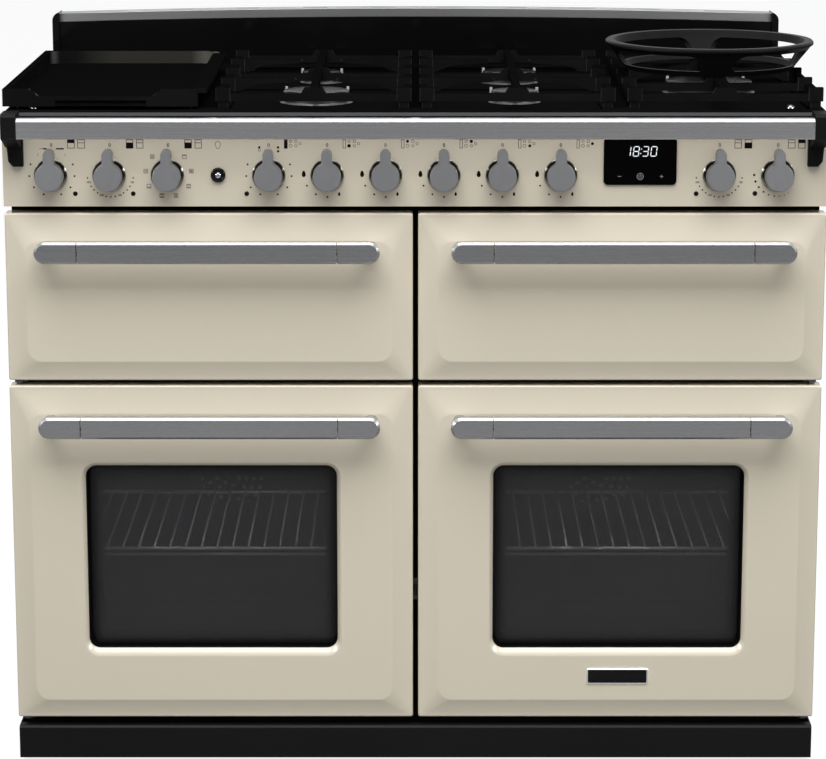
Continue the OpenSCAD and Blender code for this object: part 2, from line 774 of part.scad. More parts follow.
module door_glass() {
    inner_w = window_w - 20;
    inner_h = window_h - 10;
    translate([0, 0, -window_drop]) {
        along_y([glass_y, glass_y + glass_t])
            rounded(window_w + 2 * glass_lap, window_h + 2 * glass_lap, window_r + 4);
        along_y([front_t + 2, liner_y - 1]) rounded(inner_w + 16 - 2 * seat, inner_h + 16 - 2 * seat, window_r);
    }
}

// Inner skin of a door: a shallow tray with a frame round the inner glass
module door_liner() {
    inner_w = window_w - 20;
    inner_h = window_h - 10;
    w = front_w - 2 * liner_inset;
    h = door_h - 2 * liner_inset;
    difference() {
        along_y([front_t, liner_y]) rounded(w, h, 8);
        difference() {
            along_y([front_t - 1, liner_y - liner_wall]) rounded(w - 8, h - 8, 6);
            translate([0, 0, -window_drop])
                along_y([front_t - 2, liner_y]) rounded(inner_w + 28, inner_h + 28, window_r + 6);
        }
        translate([0, 0, -window_drop]) {
            along_y([front_t - 1, liner_y + 1]) rounded(inner_w, inner_h, window_r);
            along_y([front_t + 2, liner_y + 1]) rounded(inner_w + 16, inner_h + 16, window_r);
        }
    }
}

// Half of the bar section, turned round the axis for the rounded end
module handle_section() {
    h = handle_h / 2;
    polygon([[0, 0], [h - handle_bevel, 0], [h, handle_bevel], [h, handle_t - 1], [h - 1, handle_t], [0, handle_t]]);
}

// Bar section drawn out along X between two limits, its face at y = 0
module handle_bar(x) {
    h = handle_h / 2;
    along_x(x) polygon([[0, -h + handle_bevel], [0, h - handle_bevel], [handle_bevel, h], [handle_t - 1, h],
        [handle_t, h - 1], [handle_t, -h + 1], [handle_t - 1, -h], [handle_bevel, -h]]);
}

// A handle round its own centre; y = 0 is the edge plane of the front that carries it
module handle() {
    face = -handle_reach;
    end_x = handle_len / 2 - handle_h / 2;
    joint_x = handle_len / 2 - handle_end;
    for (s = [-1, 1]) on_side(s) difference() {
        union() {
            translate([-end_x, face, 0]) rotate([-90, 90, 0])
                rotate_extrude(angle = 180) handle_section();
            translate([0, face, 0]) handle_bar([-end_x, -joint_x]);
            // Post that stands on the raised face of the front
            translate([-end_x - 2, 0, 0]) along_y([face + handle_t - 0.5, -bevel_d]) rounded(18, 18, 7);
        }
        rod_x([-joint_x - 14, -joint_x + 1], face + handle_t / 2, 0, 4 + fit);
    }
    translate([0, face, 0]) handle_bar([-joint_x + handle_joint, joint_x - handle_joint]);
    rod_x([-joint_x - 12, -joint_x + handle_joint + 2], face + handle_t / 2, 0, 4);
    rod_x([joint_x - handle_joint - 2, joint_x + 12], face + handle_t / 2, 0, 4);
}

module door_place(s) translate([s * front_x, 0, door_z]) children();
module drawer_place(s) translate([s * front_x, 0, drawer_z]) children();

module left_door_panel() placed() color("#ddd0b4") door_place(-1) door_panel();
module right_door_panel() placed() color("#ddd0b4") door_place(1) mirror([1, 0, 0]) door_panel();
module left_door_glass() placed() color("#1c1c1e") door_place(-1) door_glass();
module right_door_glass() placed() color("#1c1c1e") door_place(1) door_glass();
module left_door_liner() placed() color("#515356") door_place(-1) door_liner();
module right_door_liner() placed() color("#515356") door_place(1) door_liner();

module left_door_handle() placed() color("#8e9093")
    door_place(-1) translate([0, 0, door_h / 2 - door_handle_drop]) handle();
module right_door_handle() placed() color("#8e9093")
    door_place(1) translate([0, 0, door_h / 2 - door_handle_drop]) handle();
module grill_handle() placed() color("#8e9093")
    drawer_place(-1) translate([0, 0, drawer_h / 2 - drawer_handle_drop]) handle();
module drawer_handle() placed() color("#8e9093")
    drawer_place(1) translate([0, 0, drawer_h / 2 - drawer_handle_drop]) handle();

// Pressed front of a drawer, closed behind by its own inner panel
module drawer_face() {
    difference() {
        pressed_front(drawer_h);
        front_hollow(drawer_h);
    }
    difference() {
        along_y([front_t, liner_y]) rounded(front_w - 2 * liner_inset, drawer_h - 2 * liner_inset, 8);
        along_y([front_t - 1, liner_y - liner_wall])
            rounded(front_w - 2 * liner_inset - 8, drawer_h - 2 * liner_inset - 8, 6);
    }
}

module grill_front() placed() color("#ddd0b4") drawer_place(-1) drawer_face();
module drawer_front() placed() color("#ddd0b4") drawer_place(1) drawer_face();

// Slides that run in the two fixed runners, with a web to the carriage side
module slides() {
    y0 = liner_y;
    y1 = cavity_y + runner_len - 10;
    for (s = [-1, 1]) on_side(s) {
        block([-upper_w / 2 + runner_wall + seat, -upper_w / 2 + runner_wall + seat + slide_w - 2],
            [cavity_y + 6, y1], [runner_z - drawer_z - slide_h / 2, runner_z - drawer_z + slide_h / 2]);
        block([-upper_w / 2 + runner_wall + seat, -carriage_x + 1], [cavity_y + 6, y1],
            [runner_z - drawer_z - web_h / 2, runner_z - drawer_z + web_h / 2]);
        block([-carriage_x - 1, -carriage_x + 1.5], [y0, y1],
            [runner_z - drawer_z - 14, runner_z - drawer_z + 14]);
    }
}

// Open frame that carries the grill pan
module grill_carriage() placed() color("#a7a9ab") drawer_place(-1) {
    y1 = cavity_y + runner_len - 10;
    z = runner_z - drawer_z;
    slides();
    for (y = [[liner_y, liner_y + 2], [y1 - 2, y1]])
        block([-carriage_x, carriage_x], y, [z - 14, z + 14]);
    for (s = [-1, 1]) on_side(s)
        block([-carriage_x + 1, -carriage_x + 16], [liner_y + 1, y1 - 1], [z - 14, z - 12]);
}

// Enamelled pan with a wire trivet in it
module grill_pan() placed() color("#3c3d3f") drawer_place(-1) {
    z0 = runner_z - drawer_z - 12 + seat;
    y0 = cavity_y + 22;
    y1 = y0 + pan_l;
    w = 2 * carriage_x - 8;
    ymid = (y0 + y1) / 2;
    difference() {
        union() {
            translate([0, ymid, 0]) along_z([z0, z0 + 34]) rounded(w - 14, y1 - y0 - 14, 18);
            translate([0, ymid, 0]) along_z([z0 + 32, z0 + 34]) rounded(w, y1 - y0, 20);
        }
        translate([0, ymid, 0]) along_z([z0 + 2, z0 + 35]) rounded(w - 18, y1 - y0 - 18, 16);
    }
    for (i = [-6 : 6])
        rod_y(i * 28, [y0 + 16, y1 - 16], z0 + 22, 1.5);
    for (y = [y0 + 20, y1 - 20]) {
        rod_x([-w / 2 + 16, w / 2 - 16], y, z0 + 20, 2.5);
        for (sx = [-1, 1]) rod_z(sx * (w / 2 - 30), y, [z0 + 2, z0 + 20], 2.5);
    }
}

// Deep tray of the warming drawer, closed in front by the inner panel of the drawer front
module drawer_tray() placed() color("#55575a") drawer_place(1) {
    y1 = cavity_y + runner_len - 4;
    z1 = runner_z - drawer_z + 14;
    z0 = -upper_h / 2 + 22;
    slides();
    difference() {
        block([-carriage_x, carriage_x], [liner_y, y1], [z0, z1]);
        block([-carriage_x + 1.5, carriage_x - 1.5], [liner_y - 1, y1 - 1.5], [z0 + 1.5, z1 + 1]);
    }
}

// The control panel

module control_fascia() placed() color("#ddd0b4") {
    difference() {
        union() {
            block([-panel_x, panel_x], [0, sheet_t], [fascia_z0, fascia_z1]);
            block([-panel_x, panel_x], [0, frame_y + frame_t], [fascia_z1 - sheet_t, fascia_z1]);
            block([-panel_x, panel_x], [0, frame_y], [fascia_z0, fascia_z0 + sheet_t]);
            for (s = [-1, 1]) on_side(s)
                block([-panel_x, -panel_x + sheet_t], [0, frame_y], [fascia_z0, fascia_z1]);
        }
        for (i = [0 : 10]) rod_y(knob_x(i), [-1, sheet_t + 1], knob_z, knob_hub_r + 1);
        rod_y(light_x, [-1, sheet_t + 1], knob_z, light_r + seat);
        translate([clock_x, 0, clock_z]) along_y([-1, sheet_t + 1]) rounded(clock_w - 10, clock_h - 10, 4);
    }
}

module clock_panel() placed() color("#0d0d0e") translate([clock_x, 0, clock_z]) {
    along_y([-2.5, 0]) rounded(clock_w, clock_h, 6);
    along_y([-1, 28]) rounded(clock_w - 10 - 2 * seat, clock_h - 10 - 2 * seat, 4 - seat);
}

module knob_bezels() placed() color("#d4d6d8") {
    for (i = [0 : 10]) translate([knob_x(i), 0, knob_z]) rotate([90, 0, 0]) rotate_extrude()
        polygon([[knob_hub_r + 1, 0], [bezel_r, 0], [bezel_r, 1.5], [bezel_r - 1.5, bezel_t - 1],
            [bezel_r - 2.5, bezel_t], [knob_hub_r + 1, bezel_t]]);
    translate([light_x, 0, knob_z]) rotate([90, 0, 0]) rotate_extrude()
        polygon([[light_r + seat, 0], [light_bezel_r, 0], [light_bezel_r - 1, 3], [light_r + seat, 3]]);
}

// Outline of a knob grip seen from the front: a disc with a rounded pointer, joined by fillets
module knob_outline(inset) {
    r = knob_r - inset;
    p = pointer_w / 2 - inset;
    f = 5 + inset;
    cx = p + f;
    cz = sqrt((r + f) * (r + f) - cx * cx);
    a0 = 180 + atan2(cz, cx);
    circle(r);
    translate([-p, 0]) square([2 * p, pointer_len - pointer_w / 2]);
    translate([0, pointer_len - pointer_w / 2]) circle(p);
    // Fillet on each side, its arc run a little into the disc
    for (s = [-1, 1])
        polygon(concat([[0, r / 2], [s * r * 0.9 * cx / (r + f), r * 0.9 * cz / (r + f)]],
            [for (i = [0 : 5]) let (a = a0 + (180 - a0) * i / 5) [s * (cx + f * cos(a)), cz + f * sin(a)]],
            [[0, cz]]));
}

// A knob with its hub and spindle, round its own axis, y = 0 on the control panel
module knob() {
    along_y([-knob_reach + 1, -knob_back - 4]) knob_outline(0);
    along_y([-knob_reach, -knob_reach + 1]) knob_outline(1);
    rod_y(0, [-knob_back - 5, -knob_back], 0, knob_r - 1);
    rod_y(0, [-knob_back - 1, sheet_t], 0, knob_hub_r);
    rod_y(0, [0, spindle_end], 0, spindle_r);
}

module knob_at(i) placed() color("#8e9093") translate([knob_x(i), 0, knob_z]) knob();
module grill_knob() knob_at(0);
module left_oven_knob() knob_at(1);
module left_function_knob() knob_at(2);
module hotplate_knob() knob_at(3);
module burner_1_knob() knob_at(4);
module burner_2_knob() knob_at(5);
module burner_3_knob() knob_at(6);
module burner_4_knob() knob_at(7);
module burner_5_knob() knob_at(8);
module right_oven_knob() knob_at(9);
module drawer_knob() knob_at(10);

module light_button() placed() color("#d4d6d8") translate([light_x, 0, knob_z]) {
    rotate([90, 0, 0]) rotate_extrude()
        polygon([[0, 0], [light_r, 0], [light_r, 4], [light_r - 0.8, 5.2], [light_r / 2, 5.8], [0, 6]]);
    rod_y(0, [-1, light_stem], 0, light_r - 2);
}

// Valves, switches and the pipe that feeds the burners, with the inlet at the back
module gas_rail_and_switches() placed() color("#b08d57") {
    for (i = [0 : 10]) translate([knob_x(i), 0, knob_z]) {
        gas = i > 3 && i < 9;
        difference() {
            block(gas ? [-14, 14] : [-22, 22], [sheet_t + seat, sheet_t + valve_d], gas ? [-16, 22] : [-22, 22]);
            rod_y(0, [sheet_t - 1, spindle_end + 2], 0, spindle_r + fit);
            rod_y(0, [sheet_t - 1, sheet_t + seat + 1], 0, knob_hub_r + 1);
        }
        if (gas) rod_y(0, [sheet_t + valve_d - 1, rail_pipe_y], 12, 5);
    }
    difference() {
        block([light_x - 10, light_x + 10], [sheet_t + seat, sheet_t + 26], [knob_z - 12, knob_z + 12]);
        rod_y(light_x, [sheet_t - 1, light_stem + light_travel + 1], knob_z, light_r - 2 + fit);
        rod_y(light_x, [sheet_t - 1, light_travel + 2 * seat], knob_z, light_r + seat);
    }
    rod_x([knob_x(4) - 24, inlet_x], rail_pipe_y, knob_z + 12, rail_pipe_r);
    rod_y(inlet_x, [rail_pipe_y - 4, body_depth - inlet_len - 3 - seat], inlet_z, rail_pipe_r - 0.5);
    rod_z(inlet_x, rail_pipe_y, [knob_z + 4, inlet_z + 6], rail_pipe_r);
    difference() {
        translate([inlet_x, body_depth, inlet_z]) rotate([90, 0, 0])
            cylinder(r = inlet_boss, h = inlet_len + 3);
        rod_y(inlet_x, [body_depth - inlet_len, body_depth + 1], inlet_z, inlet_r);
    }
}

module handrail() placed() color("#8e9093") {
    y0 = -rail_reach;
    y1 = y0 + rail_t;
    b = rail_bevel;
    along_x([-rail_len / 2, rail_len / 2])
        polygon([[y0, rail_z0 + 2], [y0 + 2, rail_z0], [y1 - 2, rail_z0], [y1, rail_z0 + 2],
            [y1, rail_z1 - 2], [y1 - 2, rail_z1], [y0 + b, rail_z1], [y0, rail_z1 - b]]);
}

// Arm from the control panel to each end of the handrail
module handrail_brackets() placed() color("#151516") {
    y0 = -rail_reach - 1;
    lip = -hob_front - seat;
    outer = bracket_x + bracket_w;
    inner = bracket_x - 2;
    for (s = [-1, 1]) on_side(s) {
        along_x([-bracket_x - bracket_w, -bracket_x])
            polygon([[y0, rail_z0 + 2], [y0, rail_z1 + 2], [y0 + 5, rail_z1 + 6], [lip, rail_z1 + 6],
                [lip, fascia_z1 - 3], [-7, fascia_z1 - 3], [-7, rail_z0 - 18], [-20, rail_z0 - 15],
                [-44, rail_z0 - 5], [y0 + 4, rail_z0 - 1]]);
        // Foot plate on the control panel
        along_y([-8, 0]) polygon([[-outer, rail_z0 - 7], [-outer + 2.5, rail_z0 - 36], [-outer + 8.5, rail_z0 - 43],
            [-inner, rail_z0 - 43], [-inner, fascia_z1 - 3], [-outer, fascia_z1 - 3]]);
    }
}

// The hob

// Outlines of the pressed wells, grown by a margin
module wells(grow) {
    mid = (row_y(0) + row_y(4)) / 2;
    for (x = [bay_x[1], bay_x[2], bay_x[3]])
        translate([x, mid]) rounded(well_w + 2 * grow, well_l + 2 * grow, well_r + grow);
    translate([griddle_x - 6, mid]) rounded(plate_w + 2 * grow, well_l + 2 * grow, well_r + grow);
}

// Pressed tray with a turned down rim and a well in each bay
module hob_tray() placed() color("#101011") {
    difference() {
        block([-hob_x, hob_x], [-hob_front, hob_depth], [fascia_z1, hob_z]);
        along_z([well_z, hob_z + 1]) wells(0);
        // Hollow between the rim and the wells, open below
        along_z([fascia_z1 - 1, hob_z - tray_t]) difference() {
            translate([-hob_x + tray_t, -hob_front + tray_t])
                square([2 * hob_x - 2 * tray_t, hob_front + hob_depth - 2 * tray_t]);
            wells(tray_t);
        }
        for (b = burners) rod_z(b[0], b[1], [fascia_z1 - 1, hob_z], b[2] - 6 + seat);
        // Slope of the front rim
        along_x([-hob_x - 1, hob_x + 1])
            polygon([[-hob_front - 1, hob_z - 4], [-hob_front, hob_z - 4], [-hob_front + 4, hob_z],
                [-hob_front + 4, hob_z + 1], [-hob_front - 1, hob_z + 1]]);
    }
}

// Cup, flange and slotted crown of one burner, with its two electrodes
module burner(r) {
    slots = 2 * floor(r / 3.2);
    difference() {
        union() {
            translate([0, 0, well_z]) cylinder(r1 = r + 5, r2 = r + 3, h = burner_flange);
            rod_z(0, 0, [well_z - cup_h, well_z + 1], r - 6);
            rod_z(0, 0, [well_z + 1, cap_z - crown_h / 2], r);
        }
        rod_z(0, 0, [well_z - cup_h + 2, cap_z + 1], r - 12);
    }
    along_z([cap_z - crown_h / 2, cap_z]) difference() {
        circle(r);
        circle(r - 12);
        for (i = [0 : slots - 1]) rotate(i * 360 / slots)
            translate([r - 9, -flame_slot / 2]) square([12, flame_slot]);
    }
    for (a = [40, 140]) rotate(a) translate([r + 10, 0, 0]) {
        rod_z(0, 0, [well_z, well_z + 9], 3);
        rod_z(0, 0, [well_z + 9, well_z + 14], 1);
    }
}

module burner_bodies() placed() color("#b5b1a4") {
    for (b = burners) translate([b[0], b[1], 0]) burner(b[2]);
}

module burner_cap(r) {
    translate([0, 0, cap_z]) rotate_extrude()
        polygon([[0, 0], [r - 1, 0], [r + 1, 1.5], [r, cap_t - 1], [r - 2, cap_t], [0, cap_t + 0.5]]);
}

module burner_caps() placed() color("#141415") {
    for (b = burners) translate([b[0], b[1], 0]) burner_cap(b[2]);
}

module griddle_hotplate() placed() color("#202022") {
    translate([griddle_x - 6, (row_y(0) + row_y(4)) / 2, 0]) {
        along_z([well_z, well_z + 4]) rounded(plate_w - 4, well_l - 60, 8);
        along_z([well_z, well_z + 5]) difference() {
            rounded(plate_w - 1, well_l - 56, 9);
            rounded(plate_w - 4, well_l - 60, 8);
        }
    }
}

// Cast griddle plate with a pouring lip at the front
module griddle() placed() color("#29292a") {
    z0 = hob_z + griddle_foot;
    z1 = z0 + griddle_h;
    y0 = row_y(0) - griddle_front;
    y1 = row_y(4) - griddle_end;
    x0 = bay_x[0] - griddle_w / 2;
    x1 = bay_x[0] + griddle_w / 2;
    mid = (y0 + y1) / 2;
    w = griddle_wall;
    difference() {
        union() {
            block([x0, x1 - 12], [y0, y1], [z0, z1]);
            block([x1 - 13, x1], [y0 + 6, y1 - 40], [z1 - 6, z1]);
            for (x = [x0 + 14, x1 - 26], y = [y0 + 16, y1 - 16]) rod_z(x, y, [hob_z + seat, z0 + 1], 7);
        }
        translate([(x0 + x1 - 12) / 2, mid, 0])
            along_z([z0 + 5, z1 + 1]) rounded(griddle_w - 12 - 2 * w, y1 - y0 - 2 * w, 20);
        // Pouring lip, its ends rounded
        translate([(x0 + x1) / 2 - 12, 0, z1]) along_y([y0 - 1, y0 + w + 12]) {
            rounded(griddle_w - 108, 2 * lip_drop, lip_drop - 1);
            for (s = [-1, 1]) translate([s * (griddle_w / 2 - 57), 0]) difference() {
                square([20, 2 * 3], center = true);
                translate([s * 12, -3]) circle(4);
            }
        }
        // Hollow under the front edge
        block([x0 + 70, x1 - 80], [y0 - 1, y0 + 4], [z0 - 1, z0 + 8]);
        rod_z(x1 - 18, y1 - 26, [z0 - 1, z1 + 1], 8);
    }
}

// Cast support round its bay centre, the first row at y = 0
module support_frame(cross_rows, finger_rows) {
    hw = support_w / 2;
    z1 = support_z;
    bar_z = [z1 - 18, z1 - 8];
    side = hw - bar_w / 2;
    for (sx = [-1, 1])
        block([sx * side - bar_w / 2, sx * side + bar_w / 2], [0, 4 * row_pitch], bar_z);
    for (i = cross_rows)
        block([-side, side], [i * row_pitch - bar_w / 2, i * row_pitch + bar_w / 2], bar_z);
    // Raised blocks at every bar end, and the feet under the corner ones
    for (sx = [-1, 1], i = [0 : 4]) {
        y = i * row_pitch;
        translate([sx * (hw - block_w / 2), y, 0]) along_z([bar_z[0], z1]) rounded(block_w, bar_w + 2, 2);
        if (i % 2 == 0)
            translate([sx * (hw - block_w / 2), y, 0]) along_z([hob_z + seat, z1 - 10]) rounded(block_w - 6, bar_w, 2);
    }
    // Middle bar, raised, with a block where it meets each cross bar
    block([-bar_w / 2, bar_w / 2], [-bar_w / 2, 4 * row_pitch + bar_w / 2], [z1 - 10, z1]);
    for (i = cross_rows)
        along_y([i * row_pitch - bar_w / 2, i * row_pitch + bar_w / 2])
            polygon([[-18, z1 - 10], [-12, z1], [12, z1], [18, z1 - 10], [16, bar_z[0]], [-16, bar_z[0]]]);
    // Tapering fingers that point at the burners
    for (sx = [-1, 1], i = finger_rows)
        translate([0, i * row_pitch, 0]) along_y([-bar_w / 2, bar_w / 2])
            polygon([[sx * (hw - 4), bar_z[0]], [sx * (hw - 4), z1], [sx * (hw - block_w), z1],
                [sx * finger_gap, z1 - 1], [sx * (finger_gap - 3), z1 - 3], [sx * (finger_gap + 1), z1 - 6],
                [sx * (hw - 48), z1 - 9], [sx * (hw - 26), bar_z[0]]]);
}

module left_pan_support() placed() color("#1b1b1c")
    translate([bay_x[1], row_start, 0]) support_frame([0, 2, 4], [1, 3]);
module middle_pan_support() placed() color("#1b1b1c")
    translate([bay_x[2], row_start, 0]) support_frame([0, 2, 4], [1, 3]);
module right_pan_support() placed() color("#1b1b1c")
    translate([bay_x[3], row_start, 0]) support_frame([0, 1, 3, 4], [2]);

// Cradle for a round pan: a rim over a sloping wall with four windows
module wok_ring() placed() color("#1b1b1c") translate([bay_x[3], row_y(2), support_z + seat]) {
    slope = (wok_r - 6 - wok_foot_r) / (wok_h - 4);
    difference() {
        rotate_extrude($fn = 96) {
            polygon([[wok_r - 14, wok_h - 4], [wok_r - 12, wok_h], [wok_r - 2, wok_h], [wok_r, wok_h - 2],
                [wok_r, wok_h - 5], [wok_r - 3, wok_h - 7], [wok_foot_r, 0], [wok_foot_r - wok_wall, 0],
                [wok_r - 14 - wok_wall / 2, wok_h - 9]]);
        }
        for (a = [0 : 90 : 270]) rotate(a + 45)
            translate([wok_foot_r, 0, 0]) rotate([0, 90, 0]) rotate(90)
                translate([0, 0, -30]) linear_extrude(80)
                    translate([0, wok_h / 2 - 1.5]) rounded(wok_window, wok_h - 18, 10);
    }
}

// The back

function arch_z(x, h) = h + arch_rise * (1 - pow(x / arch_x, 2));

// Arched outline between two heights, seen from the front
module arch_band(z0, z1, lift) {
    top = [for (i = [0 : arch_steps]) let (x = arch_x - 2 * arch_x * i / arch_steps) [x, arch_z(x, z1)]];
    low = [for (i = [0 : arch_steps]) let (x = -arch_x + 2 * arch_x * i / arch_steps)
        [x, lift ? arch_z(x, z0) : z0]];
    polygon(concat(low, top));
}

// Left end cap from a height up, with a rounded outer corner, seen from the front
module cap_outline(z0) intersection() {
    translate([-hob_x, z0]) square([cap_w, upstand_z + cap_over - z0]);
    union() {
        translate([-hob_x, z0]) square([cap_w, upstand_z + cap_over - cap_corner - z0]);
        translate([-hob_x + cap_corner, upstand_z + cap_over - cap_corner]) circle(cap_corner);
    }
}

module rear_upstand() placed() color("#0f0f10") {
    difference() {
        along_y([hob_depth, hob_depth + upstand_t]) arch_band(fascia_z1, upstand_z - trim_h, false);
        along_y([hob_depth + sheet_t, hob_depth + upstand_t - sheet_t])
            intersection() {
                arch_band(fascia_z1, upstand_z - trim_h - sheet_t, false);
                translate([0, (fascia_z1 + upstand_z) / 2 + sheet_t])
                    square([2 * arch_x - 2 * sheet_t, upstand_z - fascia_z1 + 2 * arch_rise], center = true);
            }
    }
    // End caps, which stand proud of the upstand
    for (s = [-1, 1]) on_side(s) {
        along_y([hob_depth - cap_proud, hob_depth]) cap_outline(hob_z + seat);
        along_y([hob_depth, hob_depth + upstand_t]) cap_outline(fascia_z1);
    }
}

// Folded trim over the arch, with the flue slots in its top
module upstand_trim() placed() color("#707276") {
    z1 = upstand_z;
    difference() {
        along_y([hob_depth, hob_depth + upstand_t]) arch_band(z1 - trim_h, z1, true);
        along_y([hob_depth + sheet_t, hob_depth + upstand_t - sheet_t])
            arch_band(z1 - trim_h - 1, z1 - sheet_t, true);
        for (i = [-4 : 4])
            translate([i * 100, hob_depth + upstand_t / 2]) along_z([z1 - 3, z1 + arch_rise + 1]) rounded(70, 9, 4);
    }
}

module left_fan() placed() color("#b9bbbd") fan(-1);
module right_fan() placed() color("#b9bbbd") fan(1);

base_frame();
levelling_feet();
plinth();
side_panels();
back_panel();
front_frame();
oven_liners();
upper_liners();
oven_racks();
fan_covers();
fan_motors();
heating_elements();
door_seals();
hinges_and_runners();
gas_rail_and_switches();
control_fascia();
clock_panel();
knob_bezels();
handrail();
handrail_brackets();
hob_tray();
burner_bodies();
burner_caps();
griddle_hotplate();
rear_upstand();
upstand_trim();
left_door_panel();
left_door_glass();
left_door_liner();
left_door_handle();
right_door_panel();
right_door_glass();
right_door_liner();
right_door_handle();
grill_front();
grill_handle();
grill_carriage();
grill_pan();
drawer_front();
drawer_handle();
drawer_tray();
griddle();
left_pan_support();
middle_pan_support();
right_pan_support();
wok_ring();
grill_knob();
left_oven_knob();
left_function_knob();
hotplate_knob();
burner_1_knob();
burner_2_knob();
burner_3_knob();
burner_4_knob();
burner_5_knob();
right_oven_knob();
drawer_knob();
light_button();
left_fan();
right_fan();
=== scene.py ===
import math

import bmesh
import bpy
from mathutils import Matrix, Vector


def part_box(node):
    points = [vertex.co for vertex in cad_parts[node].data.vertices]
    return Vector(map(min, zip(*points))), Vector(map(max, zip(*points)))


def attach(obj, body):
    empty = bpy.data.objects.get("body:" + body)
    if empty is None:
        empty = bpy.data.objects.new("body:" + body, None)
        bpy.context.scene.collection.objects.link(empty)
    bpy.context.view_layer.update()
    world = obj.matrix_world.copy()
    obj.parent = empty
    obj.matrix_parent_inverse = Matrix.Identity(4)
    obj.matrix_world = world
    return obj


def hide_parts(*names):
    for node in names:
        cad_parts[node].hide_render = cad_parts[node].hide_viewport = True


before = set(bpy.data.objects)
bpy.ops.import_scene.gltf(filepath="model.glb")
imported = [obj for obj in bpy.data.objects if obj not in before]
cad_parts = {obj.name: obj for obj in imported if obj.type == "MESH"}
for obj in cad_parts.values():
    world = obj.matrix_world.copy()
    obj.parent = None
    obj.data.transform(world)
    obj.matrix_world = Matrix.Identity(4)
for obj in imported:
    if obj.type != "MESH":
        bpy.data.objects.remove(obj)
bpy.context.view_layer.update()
print("stage: frame loaded")

# Sizes below are in mm from the middle of the door faces: x to the right, y to the back, z up from the floor.
midX, midY = 0.005, 0.2695


def at(x, y, z):
    return Vector((x / 1000 - midX, y / 1000 - midY, z / 1000))


def link(item):
    bpy.context.scene.collection.objects.link(item)
    return item


def centreOf(nodeName):
    low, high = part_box(nodeName)
    return [((low[i] + high[i]) / 2 + (midX, midY, 0)[i]) * 1000 for i in range(3)]


# The camera stands where the photograph was taken from
cameraSettings = {"lens": 133.016, "place": (-0.005, -4.2735, 1.406), "tilt": 12.16, "shift": -0.00303}
camera = link(bpy.data.objects.new("photoCamera", bpy.data.cameras.new("photoCamera")))
camera.data.lens = cameraSettings["lens"]
camera.data.sensor_width = 36
camera.data.shift_x = cameraSettings["shift"]
camera.data.clip_end = 50
camera.location = cameraSettings["place"]
camera.rotation_euler = (math.radians(90 - cameraSettings["tilt"]), 0, 0)
bpy.context.scene.camera = camera
bpy.context.scene.view_settings.view_transform = "Standard"


def shaderNode(tree, kind, inputs=None, **attributes):
    made = tree.nodes.new("ShaderNode" + kind)
    for key, value in attributes.items():
        setattr(made, key, value)
    for key, value in (inputs or {}).items():
        if isinstance(value, bpy.types.NodeSocket):
            tree.links.new(value, made.inputs[key])
        else:
            made.inputs[key].default_value = value
    return made


shaderInputs = {"metallic": "Metallic", "rough": "Roughness", "specular": "Specular IOR Level", "coat": "Coat Weight",
    "coatRough": "Coat Roughness"}


def startMaterial(name, **settings):
    made = bpy.data.materials.new(name)
    made.use_nodes = True
    tree = made.node_tree
    tree.nodes.clear()
    shader = shaderNode(tree, "BsdfPrincipled")
    output = shaderNode(tree, "OutputMaterial", {"Surface": shader.outputs["BSDF"]})
    output.location = (400, 0)
    for key, value in settings.items():
        shader.inputs[shaderInputs[key]].default_value = value
    return made, tree, shader


def placeOf(tree, stretch=(1, 1, 1), turn=(0, 0, 0)):
    coords = shaderNode(tree, "TexCoord").outputs["Object"]
    return shaderNode(tree, "Mapping", {"Vector": coords, "Scale": stretch, "Rotation": turn}).outputs["Vector"]


def noise(tree, place, scale, detail=2.0, rough=0.5):
    return shaderNode(tree, "TexNoise", {"Vector": place, "Scale": scale, "Detail": detail,
        "Roughness": rough}).outputs["Fac"]


def between(tree, factor, low, high, fromLow=0.3, fromHigh=0.7):
    return shaderNode(tree, "MapRange", {"Value": factor, "From Min": fromLow, "From Max": fromHigh,
        "To Min": low, "To Max": high}).outputs["Result"]


def tint(tree, factor, first, second, fromLow=0.3, fromHigh=0.7):
    ramp = shaderNode(tree, "ValToRGB", {"Fac": factor})
    ramp.color_ramp.elements[0].position = fromLow
    ramp.color_ramp.elements[1].position = fromHigh
    ramp.color_ramp.elements[0].color = (*first, 1)
    ramp.color_ramp.elements[1].color = (*second, 1)
    return ramp.outputs["Color"]


def mixed(tree, factor, first, second):
    def whole(value):
        return (*value, 1) if isinstance(value, tuple) and len(value) == 3 else value
    return shaderNode(tree, "Mix", {0: factor, 6: whole(first), 7: whole(second)}, data_type="RGBA").outputs[2]


def sums(tree, first, second, operation):
    return shaderNode(tree, "Math", {0: first, 1: second}, operation=operation).outputs[0]


# How much a face leans away from the nearest axis: nought on flat faces, one on rounded edges
def edgeMask(tree):
    normal = shaderNode(tree, "TexCoord").outputs["Normal"]
    parts = shaderNode(tree, "SeparateXYZ", {"Vector": normal}).outputs
    sizes = [sums(tree, parts[i], 0.0, "ABSOLUTE") for i in range(3)]
    most = sums(tree, sums(tree, sizes[0], sizes[1], "MAXIMUM"), sizes[2], "MAXIMUM")
    return between(tree, most, 1.0, 0.0, 0.76, 0.95), parts


def bump(tree, shader, height, distance):
    made = shaderNode(tree, "Bump", {"Height": height, "Distance": distance, "Strength": 1.0})
    tree.links.new(made.outputs["Normal"], shader.inputs["Normal"])


def fill(tree, shader, colour=None, rough=None):
    if colour is not None:
        tree.links.new(colour, shader.inputs["Base Color"])
    if rough is not None:
        tree.links.new(rough, shader.inputs["Roughness"])


